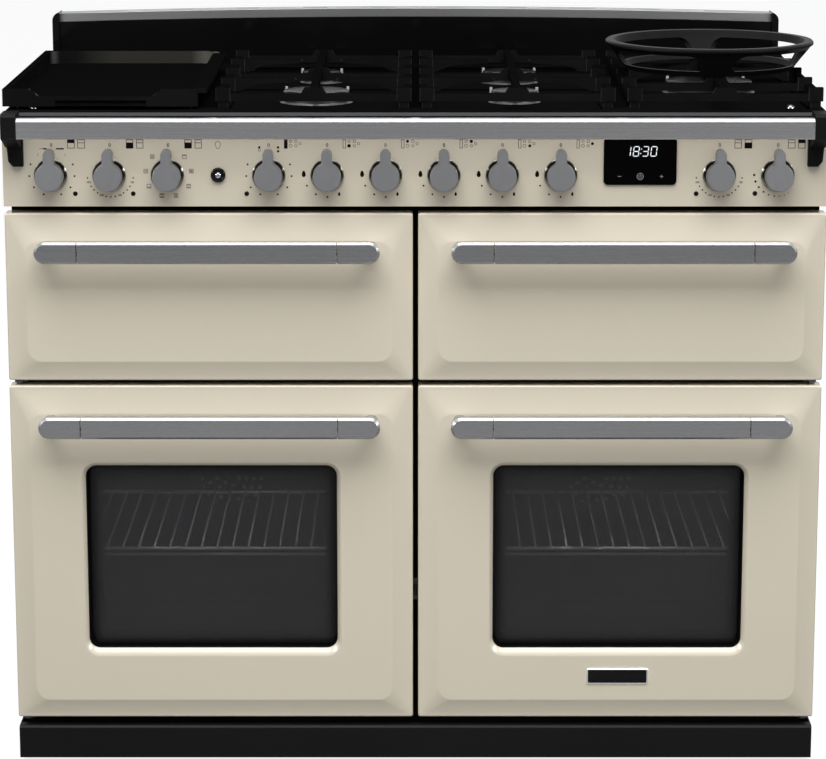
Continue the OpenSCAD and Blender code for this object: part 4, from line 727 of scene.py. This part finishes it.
def ovalPart(x, z, halfWidth, halfHeight, line, y, count=24):
    loops = []
    for inset, dy in ((0, 0), (line, 0), (line, -printThick), (0, -printThick)):
        loops.append([(x + (halfWidth - inset) * math.cos(math.tau * i / count), y + dy,
            z + (halfHeight - inset) * math.sin(math.tau * i / count)) for i in range(count)])
    return skin(loops, True)


def boxLine(x0, x1, z0, z1, y, width=0.7):
    return [barPart(x0, x1, z0, z0 + width, y), barPart(x0, x1, z1 - width, z1, y),
        barPart(x0, x0 + width, z0 + width, z1 - width, y), barPart(x1 - width, x1, z0 + width, z1 - width, y)]


# The dark joints between the end caps and the middle of a handle
def handleJoints(name, side, body, node):
    j = {"apart": 171.35, "width": 0.9, "bevel": 2.6, "thick": 0.05}
    low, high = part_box(node)
    y, z0, z1 = (low[1] + midY) * 1000, low[2] * 1000 + j["bevel"], high[2] * 1000 - j["bevel"]
    middle, half = side * frontSettings["across"], j["width"] / 2
    build(name, [outlinePart([(x - half, z0), (x + half, z0), (x + half, z1), (x - half, z1)], y, j["thick"])
        for x in (middle - j["apart"], middle + j["apart"])], blackLiningAndJoints, body)


for name, side, body, node in (("leftDoorJoints", -1, "left_door", "left_door_handle"),
        ("rightDoorJoints", 1, "right_door", "right_door_handle"), ("grillJoints", -1, "grill_drawer", "grill_handle"),
        ("drawerJoints", 1, "warming_drawer", "drawer_handle")):
    handleJoints(name, side, body, node)
print("stage: pressed fronts")


panelMarks = {"y": 0.0, "iconLow": 33.8, "iconHigh": 45.7, "iconSplit": 41.3, "dot": 1.3, "line": 0.9, "anchor": 20.0,
    "leftShift": 1.5}
ink, pale, lamps = [], [], []


def digit(letter, x, z, size, width=0.35):
    # plain stroked figures on a 2 by 3 grid
    strokes = {"0": "abcdef", "1": "bc", "2": "abged", "5": "afgcd"}[letter]
    w, h = size * 0.60, size
    place = {"a": (-w / 2, w / 2, h / 2 - width, h / 2), "b": (w / 2 - width, w / 2, 0, h / 2),
        "c": (w / 2 - width, w / 2, -h / 2, 0), "d": (-w / 2, w / 2, -h / 2, -h / 2 + width),
        "e": (-w / 2, -w / 2 + width, -h / 2, 0), "f": (-w / 2, -w / 2 + width, 0, h / 2),
        "g": (-w / 2, w / 2, -width / 2, width / 2)}
    return [barPart(x + place[k][0], x + place[k][1], z + place[k][2], z + place[k][3], panelMarks["y"])
        for k in strokes]


def number(text, x, z, size):
    step = size * 0.72
    start = x - step * (len(text) - 1) / 2
    return [part for i, letter in enumerate(text) for part in digit(letter, start + i * step, z, size, size * 0.17)]


# The four compartments as a small plan, with one of them filled
def compartmentIcon(x, z, columns, filled):
    y = panelMarks["y"]
    low, high, split = z + panelMarks["iconLow"], z + panelMarks["iconHigh"], z + panelMarks["iconSplit"]
    line = panelMarks["line"]
    for c, (x0, x1) in enumerate(columns):
        pale.extend(boxLine(x + x0, x + x1, low, high, y, line))
        pale.append(barPart(x + x0 + line, x + x1 - line, split - line / 2, split + line / 2, y))
        if filled[0] == c:
            z0, z1 = (split, high) if filled[1] else (low, split)
            ink.append(barPart(x + x0, x + x1, z0, z1, y - 0.07))


# The hob as a small plan: the griddle plate and five burners
def hobIcon(x, z, filled):
    y = panelMarks["y"]
    if filled == 0:
        ink.append(barPart(x + 20.5, x + 25.1, z + 33.6, z + 45.9, y))
    else:
        pale.extend(boxLine(x + 20.7, x + 24.9, z + 34, z + 45.7, y, 0.8))
    for i, (dx, dz, r) in enumerate(((29.1, 37.3, 2.3), (29.1, 43.3, 1.9), (36.1, 43.3, 2.1), (36.1, 37.3, 1.9),
            (41.6, 40.2, 1.9))):
        if filled == i + 1:
            ink.append(discPart(x + dx, z + dz, r + 0.1, y))
        else:
            pale.append(ringPart(x + dx, z + dz, r, 0.65, y))


def ovenSign(x, z, kind):
    # a small square with the heat drawn as bars or a ring
    y = panelMarks["y"]
    pale.extend(boxLine(x - 2.9, x + 2.9, z - 2.9, z + 2.9, y, 0.65))
    if kind in ("top", "both"):
        ink.append(barPart(x - 1.8, x + 1.8, z + 0.9, z + 1.8, y))
    if kind in ("base", "both"):
        ink.append(barPart(x - 1.8, x + 1.8, z - 1.8, z - 0.9, y))
    if kind in ("fan", "defrost"):
        ink.append(ringPart(x, z, 1.7, 0.6, y, count=12))
    if kind == "fan":
        ink.append(discPart(x, z, 0.6, y, 8))
    if kind == "wave":
        for k in (-1, 0, 1):
            ink.append(barPart(x - 1.8, x + 1.8, z + k * 1.2 - 0.28, z + k * 1.2 + 0.28, y))


ringDots = [(-28, 12.6), (28, 12.6), (-30, -3), (30, -3), (-24.2, -18), (24.2, -18), (-11.6, -27.3), (11.6, -27.3)]


def dots(x, z, places, radius=None):
    for dx, dz in places:
        ink.append(discPart(x + dx, z + dz, radius or panelMarks["dot"], panelMarks["y"]))


def thermometer(x, z):
    names = {2: "100", 6: "150", 10: "200", 14: "250"}
    for i in range(15):
        a = math.radians(100 + 160 / 14 * i)
        dx, dz = 30.7 * math.sin(a), 30.7 * math.cos(a)
        if i + 1 in names:
            ink.extend(number(names[i + 1], x + dx, z + dz, 2.5))
        else:
            ink.append(discPart(x + dx, z + dz, 1.05, panelMarks["y"]))


def flame(x, z, size):
    points = []
    for i in range(16):
        a = math.tau * i / 16
        r = size * (0.36 + 0.05 * math.cos(2 * a))
        points.append((x + r * math.sin(a), z - size * 0.10 + r * math.cos(a) * (1.45 if math.cos(a) > 0.9 else 1.0)))
    return outlinePart(points[::-1], panelMarks["y"])


def neon(x, z):
    steps = 5
    loops = []
    for i in range(steps):
        a = math.radians(90 * i / steps)
        r = 3.25 * math.cos(a)
        loops.append([(x + r * math.cos(math.tau * k / 20), -1.3 * math.sin(a), z + r * math.sin(math.tau * k / 20))
            for k in range(20)])
    lamps.append(skin([[(px, 0.0, pz) for px, _, pz in loops[0]]] + loops, False))


def knobMarks(name):
    x, _, _ = centreOf(name)
    x += panelMarks["leftShift"] if x < -320 else 0
    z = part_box(name)[0][2] * 1000 + panelMarks["anchor"]
    ink.append(ovalPart(x, z + 38.4, 1.55, 2.4, 0.8, panelMarks["y"]))
    if name == "grill_knob":
        dots(x, z, ringDots)
        y = panelMarks["y"]
        pale.append(barPart(x - 16, x - 11.6, z + 33.1, z + 33.9, y))
        ink.append(barPart(x - 11.2, x - 6.1, z + 32.5, z + 34.3, y))
        ink.append(barPart(x + 6.1, x + 16.6, z + 32.5, z + 34.3, y))
        pale.append(barPart(x - 18.3, x - 17.7, z + 24, z + 27, y))
        pale.append(barPart(x + 17.7, x + 18.3, z + 24, z + 27, y))
        compartmentIcon(x, z, ((21.1, 31.1), (34.5, 44.6)), (0, 1))
        neon(x + 30.4, z - 26.5)
    elif name == "left_oven_knob":
        thermometer(x, z)
        compartmentIcon(x, z, ((21.5, 31.2), (35, 44.5)), (0, 0))
        neon(x + 29.9, z - 26.5)
    elif name == "left_function_knob":
        kinds = ("wave", "top", "defrost", "fan", "base", "both", "both", "fan")
        places = ((-21.2, 22.9), (21.2, 22.9), (-30.1, 3.6), (30.1, 3.6), (-26.3, -16.4), (26.3, -16.4),
            (-9.4, -29.1), (9.4, -29.1))
        for kind, (dx, dz) in zip(kinds, places):
            ovenSign(x + dx, z + dz, kind)
        compartmentIcon(x, z, ((21.5, 31.2), (35, 44.5)), (0, 0))
    elif name == "hotplate_knob":
        dots(x, z, ringDots)
        dots(x, z, [(-12.3, 35.3), (12.5, 35.1), (12.5, 30)], 1.65)
        pale.append(ringPart(x - 12.3, z + 31.6, 1.9, 0.55, panelMarks["y"]))
        hobIcon(x, z, 0)
        neon(x - 29.5, z - 26.5)
    elif name.startswith("burner_"):
        ink.append(flame(x - 31.1, z, 8.6))
        ink.append(flame(x + 15.7, z - 26.9, 5.2))
        dots(x, z, [(-27, -15.8), (-15.2, -27.3), (0.2, -30.9)])
        hobIcon(x, z, int(name[7]))
    elif name == "right_oven_knob":
        thermometer(x, z)
        compartmentIcon(x, z, ((19.4, 29.1), (32.7, 42.7)), (1, 0))
        neon(x - 30.1, z - 26.5)
    elif name == "drawer_knob":
        for i, place in enumerate(((-30.9, -1.5), (-29, -10.2), (-24.4, -17.8), (-18.1, -24), (-11.3, -28),
                (-3.6, -29.8), (2.8, -29.6), (9.6, -28.5), (15.3, -26))):
            dots(x, z, [place], 1.7 - 0.14 * i)
        compartmentIcon(x, z, ((12.6, 22.6), (26.2, 35.8)), (1, 1))
        neon(x - 29.5, z - 26.2)


for name in sorted(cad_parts):
    if name.endswith("_knob"):
        knobMarks(name)

# Bulb sign over the light button
buttonX, _, buttonZ = centreOf("light_button")
bulbZ = buttonZ + 41.2
pale.append(ringPart(buttonX, bulbZ, 3.8, 0.7, 0.0, -38, 256))
for side in (-1, 1):
    pale.append(outlinePart([(buttonX + side * px, bulbZ + pz)
        for px, pz in ((3.5, -1.8), (1.9, -5.8), (1.2, -5.8), (2.8, -1.8))], 0.0))
pale.append(barPart(buttonX - 1.9, buttonX + 1.9, bulbZ - 6.4, bulbZ - 5.8, 0.0))

for name, parts, material, slot in (("panelPrint", ink, printInk, "cream_enamel"),
        ("panelFinePrint", pale, paleInk, "cream_enamel"), ("panelLamps", lamps, lampLens, "clock_glass")):
    build(name, parts, material, "chassis")
print("stage: printed marks", len(ink), len(pale), len(lamps))


clockSettings = {"y": -2.55, "low": 844.8, "high": 858.8, "slant": 0.12, "stroke": 1.1, "middle": 297.0,
    "digits": (("1", 277.2, 6.8), ("8", 288.0, 7.0), ("3", 300.2, 7.2), ("0", 311.2, 7.2)),
    "colon": ((297.4, 849.0), (298.2, 854.8)), "timer": (297.2, 818.4), "minus": 269.8, "plus": 325.5, "signs": 818.4}


def segment(x0, z0, x1, z1):
    c = clockSettings
    half = c["stroke"] / 2
    dx, dz = x1 - x0, z1 - z0
    length = math.hypot(dx, dz)
    ux, uz = dx / length, dz / length
    gap = 0.35
    ax, az, bx, bz = x0 + ux * gap, z0 + uz * gap, x1 - ux * gap, z1 - uz * gap
    points = [(ax, az), (ax + (ux - uz) * half, az + (uz + ux) * half), (bx - (ux + uz) * half, bz - (uz - ux) * half),
        (bx, bz), (bx - (ux - uz) * half, bz - (uz + ux) * half), (ax + (ux + uz) * half, az + (uz - ux) * half)]
    middle = (c["low"] + c["high"]) / 2
    return outlinePart([(px + (pz - middle) * c["slant"], pz) for px, pz in points], c["y"])


def clockDigit(letter, x, width):
    c = clockSettings
    lit = {"0": "abcdef", "1": "bc", "3": "abgcd", "8": "abcdefg"}[letter]
    low, high = c["low"] + 0.7, c["high"] - 0.7
    middle = (low + high) / 2
    ends = {"a": (x, high, x + width, high), "b": (x + width, middle, x + width, high),
        "c": (x + width, low, x + width, middle), "d": (x, low, x + width, low), "e": (x, low, x, middle),
        "f": (x, middle, x, high), "g": (x, middle, x + width, middle)}
    return [segment(*ends[k]) for k in lit]


def clockFace():
    c = clockSettings
    shift, y = centreOf("clock_panel")[0] - c["middle"], c["y"]
    lit = [part for letter, x, width in c["digits"] for part in clockDigit(letter, x + shift, width)]
    lit += [discPart(x + shift, z, 0.7, y) for x, z in c["colon"]]
    x, z = c["timer"][0] + shift, c["timer"][1]
    minus, plus, level = c["minus"] + shift, c["plus"] + shift, c["signs"]
    dim = [ringPart(x, z, 4.8, 0.8, y, count=8), ringPart(x, z, 2.4, 0.6, y, 125, 290, 14),
        barPart(x - 0.3, x + 0.3, z - 0.2, z + 3.0, y), barPart(minus - 2.2, minus + 2.2, level - 0.4, level + 0.4, y),
        barPart(plus - 2.2, plus + 2.2, level - 0.4, level + 0.4, y),
        barPart(plus - 0.4, plus + 0.4, level - 2.2, level + 2.2, y - 0.07)]
    build("clockDigits", lit, clockLight, "chassis")
    build("clockTouchSigns", dim, clockDim, "chassis")


clockFace()
print("stage: clock face")


# Bare badge plate on the right door
badgeSettings = {"x": 276, "z": 129, "width": 84, "height": 22, "y": -5.0, "thick": 1.6}


def badgePlate():
    b = badgeSettings
    face, place = b["y"] - b["thick"], (b["x"], 0, b["z"])

    def plateLoop(less, radius, y):
        return roundedLoop(b["width"] - less, b["height"] - less, radius, y)

    build("badgeRim", [skin([plateLoop(0, 2.4, b["y"]), plateLoop(0, 2.4, face + 0.4), plateLoop(0.9, 2, face),
        plateLoop(3.4, 1.4, face), plateLoop(4.0, 1.2, face + 0.5)], False)], chrome, "right_door", place)
    build("badgePlate", [skin([plateLoop(4.2, 1.2, face + 0.6), plateLoop(4.2, 1.2, face + 0.3),
        plateLoop(4.8, 1.0, face + 0.15)], False)], buttonRing, "right_door", place)


badgePlate()


# Turned about an axis along y; profile points are (radius, along), and equal ends close the ring
def turned(profile, place, count):
    vertices, faces = [], []
    for r, along in profile:
        for i in range(count):
            a = math.tau * i / count
            vertices.append((place[0] + r * math.cos(a), place[1] + along, place[2] + r * math.sin(a)))
    rows = len(profile)
    for a in range(rows - 1):
        for i in range(count):
            j = (i + 1) % count
            faces.append((a * count + i, a * count + j, (a + 1) * count + j, (a + 1) * count + i))
    if profile[0] == profile[-1]:
        kept = (rows - 1) * count
        vertices = vertices[:kept]
        faces = [tuple(v % kept for v in face) for face in faces]
    else:
        faces.append(tuple(range(count)))
        faces.append(tuple(range((rows - 1) * count, rows * count)))
    return vertices, faces


# Small pieces that repeat are grown on points by Geometry Nodes and then kept as plain meshes
def growingTree(name, sizes, material):
    tree, inputs, node, end = newTree(name, sizes)

    def finish(piece, turn):
        spread = node("GeometryNodeInstanceOnPoints", {"Points": inputs["Geometry"], "Instance": piece,
            "Rotation": turn})
        real = node("GeometryNodeRealizeInstances", {"Geometry": spread.outputs["Instances"]})
        coated = node("GeometryNodeSetMaterial", {"Geometry": real.outputs["Geometry"], "Material": material})
        tree.links.new(coated.outputs["Geometry"], end)
        return tree

    return inputs, node, finish


def grow(name, tree, points, body, slot, sizes=None):
    mesh = bpy.data.meshes.new(name + "Points")
    mesh.from_pydata([at(*point) for point in points], [], [])
    piece = link(bpy.data.objects.new(name, mesh))
    growth = piece.modifiers.new("growth", "NODES")
    growth.node_group = tree
    for socket in tree.interface.items_tree:
        if socket.in_out == "INPUT" and socket.name in (sizes or {}):
            growth[socket.identifier] = sizes[socket.name]
    bpy.context.view_layer.update()
    grown = bpy.data.meshes.new_from_object(piece.evaluated_get(bpy.context.evaluated_depsgraph_get()))
    piece.modifiers.remove(growth)
    piece.data = grown
    made = bmesh.new()
    made.from_mesh(grown)
    settle(made, grown)
    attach(piece, body)


# A ring of round section, swept by Curve to Mesh
def sweptRing(node, radius, section, across=10, around=48):
    path = node("GeometryNodeCurvePrimitiveCircle", {"Resolution": around, "Radius": radius})
    profile = node("GeometryNodeCurvePrimitiveCircle", {"Resolution": across, "Radius": section})
    return node("GeometryNodeCurveToMesh", {"Curve": path.outputs["Curve"],
        "Profile Curve": profile.outputs["Curve"]}).outputs["Mesh"]


def moved(node, piece, x, y, z):
    offset = node("ShaderNodeCombineXYZ", {"X": x, "Y": y, "Z": z}).outputs["Vector"]
    return node("GeometryNodeTransform", {"Geometry": piece, "Translation": offset}).outputs["Geometry"]


knobBezelSettings = {"Radius": 0.0213, "Section": 0.0008, "Height": 0.0030}
knobDishSettings = {"Radius": 0.0196, "Section": 0.0017, "Height": 0.0046}


# Rings of a knob's bezel, over the dish of the carried-over bezel: a thin rim round a rounded ring whose black upper
# half and warm grey lower half are a painted reflection
def bezelTree(name, settings, material):
    sizes, node, finish = growingTree(name, settings, material)
    ring = moved(node, sweptRing(node, sizes["Radius"], sizes["Section"]), 0.0, 0.0, sizes["Height"])
    return finish(ring, (math.radians(90), 0, 0))


knobPlaces = [(centreOf(name)[0], 0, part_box(name)[0][2] * 1000 + 18.5) for name in sorted(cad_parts)
    if name.endswith("_knob")]
grow("knobBezelRims", bezelTree("bezelRims", knobBezelSettings, rimChrome), knobPlaces, "chassis", "bright_chrome")
grow("knobBezelRings", bezelTree("bezelRings", knobDishSettings, paintedReflectionChrome), knobPlaces, "chassis", "bright_chrome")

electrodeSettings = {"Sleeve Radius": 0.0021, "Sleeve Height": 0.007, "Tip Radius": 0.0012}
burnerPlaces = [(-135.25, 153, 45), (-135.25, 389, 27), (135.25, 389, 38), (135.25, 153, 31), (411, 271, 60)]


# White ceramic sleeve of an electrode, and its bright tip
def sleeveTree():
    sizes, node, finish = growingTree("electrodeSleeves", electrodeSettings, whiteCeramic)
    sleeve = node("GeometryNodeMeshCone", {"Vertices": 16, "Radius Top": 0.0019, "Radius Bottom": sizes["Sleeve Radius"],
        "Depth": sizes["Sleeve Height"]}).outputs["Mesh"]
    return finish(sleeve, (0, 0, 0))


def tipTree():
    sizes, node, finish = growingTree("electrodeTips", electrodeSettings, chrome)
    tip = node("GeometryNodeMeshUVSphere", {"Segments": 14, "Rings": 8, "Radius": sizes["Tip Radius"]}).outputs["Mesh"]
    return finish(tip, (0, 0, 0))


electrodes = [(x + (r + 10) * math.cos(math.radians(a)), y + (r + 10) * math.sin(math.radians(a)))
    for x, y, r in burnerPlaces for a in (40, 140)]
grow("electrodeSleeves", sleeveTree(), [(x, y, 908.2) for x, y in electrodes], "chassis", "burner_alloy")
grow("electrodeTips", tipTree(), [(x, y, 913.2) for x, y in electrodes], "chassis", "bright_chrome")

screwSettings = {"Head Radius": 0.0036, "Head Height": 0.0020, "Recess Width": 0.0011, "Recess Length": 0.0042,
    "Facing": (0.0, 1.0, 0.0)}


# Pan-head screw with a crossed recess, turned by a different amount at each point
def screwTree():
    sizes, node, finish = growingTree("panScrews", screwSettings, zincSheet)
    head = node("GeometryNodeMeshCone", {"Vertices": 20, "Radius Top": 0.0024, "Radius Bottom": sizes["Head Radius"],
        "Depth": sizes["Head Height"]}).outputs["Mesh"]
    for first, second in (("Recess Width", "Recess Length"), ("Recess Length", "Recess Width")):
        size = node("ShaderNodeCombineXYZ", {"X": sizes[first], "Y": sizes[second], "Z": 0.0024})
        bar = node("GeometryNodeMeshCube", {"Size": size.outputs["Vector"]}).outputs["Mesh"]
        bar = moved(node, bar, 0.0, 0.0, sizes["Head Height"])
        head = node("GeometryNodeMeshBoolean", {"Mesh 1": head, "Mesh 2": bar}, operation="DIFFERENCE").outputs["Mesh"]
    facing = node("FunctionNodeAlignRotationToVector", {"Vector": sizes["Facing"]}, axis="Z").outputs["Rotation"]
    turn = node("FunctionNodeRandomValue", {"Min": 0.0, "Max": 1.57, "Seed": 7}, data_type="FLOAT")
    spin = node("FunctionNodeAxisAngleToRotation", {"Axis": (0, 0, 1), "Angle": turn.outputs[1]}).outputs["Rotation"]
    return finish(head, node("FunctionNodeRotateRotation", {"Rotation": facing, "Rotate By": spin},
        rotation_space="LOCAL").outputs["Rotation"])


screws = screwTree()
backY, sideX = 598.6, 541.6
backScrews = [(x, backY, z) for x in (-530, -265, 0, 265, 530) for z in (34, 470, 884)]
backScrews += [(x, backY, z) for x in (-530, 530) for z in (180, 325, 610, 750)]
grow("backScrews", screws, backScrews, "chassis", "zinc_steel")
for side in (-1, 1):
    grow("leftSideScrews" if side < 0 else "rightSideScrews", screws,
        [(side * sideX, y, z) for y in (56, 585) for z in (72, 330, 600, 880)], "chassis", "zinc_steel",
        {"Facing": (float(side), 0.0, 0.0)})

studSettings = {"Radius": 0.0056, "Places": [(-506, 26, 905.3), (497, 26, 905.3)]}


# Domed chrome studs that locate the griddle and the supports
def studTree():
    sizes, node, finish = growingTree("hobStuds", {"Radius": studSettings["Radius"]}, rimChrome)
    dome = node("GeometryNodeMeshUVSphere", {"Segments": 24, "Rings": 14, "Radius": sizes["Radius"]}).outputs["Mesh"]
    return finish(dome, (0, 0, 0))


grow("hobStuds", studTree(), studSettings["Places"], "chassis", "bright_chrome")
print("stage: bezels, electrodes, screws and studs")

buttonSettings = {"outer": 9.9, "inner": 5.9, "depth": 4.4, "dome": 4.7, "rise": 4.2}


# Black ring round the light button, and the button's polished dome
def lightButton():
    b = buttonSettings
    ring = [(b["inner"], -0.1), (b["outer"], -0.1), (b["outer"], -1.4)]
    for k in range(1, 9):
        a = math.radians(180 / 8 * k - 10)
        middle, half = (b["outer"] + b["inner"]) / 2, (b["outer"] - b["inner"]) / 2
        ring.append((middle + half * math.cos(a), -1.4 - (b["depth"] - 1.4) * math.sin(a)))
    ring += [(b["inner"], -1.4), (b["inner"], -0.1)]
    place = (buttonX, 0, buttonZ)
    build("lightButtonRing", [turned(ring, place, 40)], buttonRing, "chassis")
    dome = [(b["dome"], 0.0), (b["dome"], -2.4)]
    for k in range(1, 9):
        a = math.radians(90 / 8 * k)
        dome.append((max(b["dome"] * math.cos(a), 0.05), -2.4 - (b["rise"] - 0.6) * math.sin(a)))
    build("lightButtonDome", [turned(dome, place, 32)], domeSteel, "light_button",
        replaced="light_button")


lightButton()
print("stage: badge plate and light button")


# Soft studio: a pale floor, a wide softbox high in front, and a sky that polished metal sees brighter overhead
lightSettings = {"sky": 0.42, "key": 158.0, "keyPlace": (0.0, -1.95, 3.55), "keySize": (3.6, 2.2), "floorLift": 0.80,
    "floorTone": 0.36, "floorShine": 0.10, "front": 0.26, "horizon": 0.14, "high": 0.52, "glint": 55.0,
    "glintSize": (1.3, 0.45), "glintPlace": (2.0, -1.5, 1.45), "oven": 1.5, "ovenPlace": (274.75, 60, 440)}


def seenDirectly(tree, glossy=1.0):
    path = shaderNode(tree, "LightPath").outputs
    seen = sums(tree, path["Is Camera Ray"], sums(tree, path["Is Glossy Ray"], glossy, "MULTIPLY"), "MAXIMUM")
    return sums(tree, seen, path["Is Transmission Ray"], "MAXIMUM")


def studioFloor():
    s = lightSettings
    mesh = bpy.data.meshes.new("studioFloor")
    mesh.from_pydata([(-30, -30, 0), (30, -30, 0), (30, 30, 0), (-30, 30, 0)], [], [(0, 1, 2, 3)])
    floor = link(bpy.data.objects.new("studioFloor", mesh))
    made, tree, shader = startMaterial("paleFloor", rough=0.9, specular=0.0)
    tone = s["floorTone"]
    fill(tree, shader, tint(tree, noise(tree, placeOf(tree), 2.0), (tone, tone, tone), (tone * 1.02,) * 3))
    lift = sums(tree, seenDirectly(tree, s["floorShine"]), s["floorLift"], "MULTIPLY")
    glow = shaderNode(tree, "Emission", {"Color": (1, 1, 1, 1), "Strength": lift})
    both = shaderNode(tree, "AddShader", {0: shader.outputs["BSDF"], 1: glow.outputs[0]})
    tree.links.new(both.outputs[0], [n for n in tree.nodes if n.type == "OUTPUT_MATERIAL"][0].inputs["Surface"])
    mesh.materials.append(made)


def studioSky():
    s = lightSettings
    world = bpy.data.worlds.new("studioSky")
    bpy.context.scene.world = world
    world.use_nodes = True
    tree = world.node_tree
    tree.nodes.clear()
    aim = shaderNode(tree, "SeparateXYZ", {"Vector": shaderNode(tree, "TexCoord").outputs["Generated"]}).outputs
    ahead = between(tree, aim[1], 1.0, 0.0, -0.35, 0.15)
    low = between(tree, aim[2], 1.0, 0.0, s["horizon"], s["high"])
    dim = sums(tree, ahead, low, "MULTIPLY")
    camera = shaderNode(tree, "LightPath").outputs["Is Camera Ray"]
    dim = sums(tree, dim, sums(tree, 1.0, camera, "SUBTRACT"), "MULTIPLY")
    shine = shaderNode(tree, "Background", {"Color": (1, 1, 1, 1), "Strength": between(tree, dim, 1.0, s["front"], 0, 1)})
    soft = shaderNode(tree, "Background", {"Color": (0.98, 0.99, 1.0, 1), "Strength": s["sky"]})
    both = shaderNode(tree, "MixShader", {0: seenDirectly(tree), 1: soft.outputs[0], 2: shine.outputs[0]})
    shaderNode(tree, "OutputWorld", {"Surface": both.outputs[0]})


def areaLamp(name, size, energy, place, aim):
    lamp = bpy.data.lights.new(name, "AREA")
    lamp.shape = "RECTANGLE"
    lamp.size, lamp.size_y = size
    lamp.energy = energy
    made = link(bpy.data.objects.new(name, lamp))
    made.location = place
    made.rotation_euler = (Vector(aim) - made.location).to_track_quat("-Z", "Y").to_euler()
    return made


# The softbox, two small lamps that only polished metal sees, and the lamp in each oven
def studioLamps():
    s = lightSettings
    areaLamp("softbox", s["keySize"], s["key"], s["keyPlace"], (0, -0.25, 0.6))
    for side, name in ((-1, "left"), (1, "right")):
        x, y, z = s["glintPlace"]
        areaLamp(name + "Glint", s["glintSize"], s["glint"], (side * x, y, z), (0, -0.3, 0.82)).visible_diffuse = False
        lamp = bpy.data.lights.new(name + "OvenLamp", "POINT")
        lamp.energy, lamp.shadow_soft_size = s["oven"], 0.012
        oven = link(bpy.data.objects.new(name + "OvenLamp", lamp))
        oven.visible_glossy = False
        x, y, z = s["ovenPlace"]
        oven.location = at(side * x, y, z)


studioFloor()
studioSky()
studioLamps()
# As in the photograph, the rail throws no shadow on the control panel
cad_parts["handrail"].visible_shadow = False
print("stage: studio")
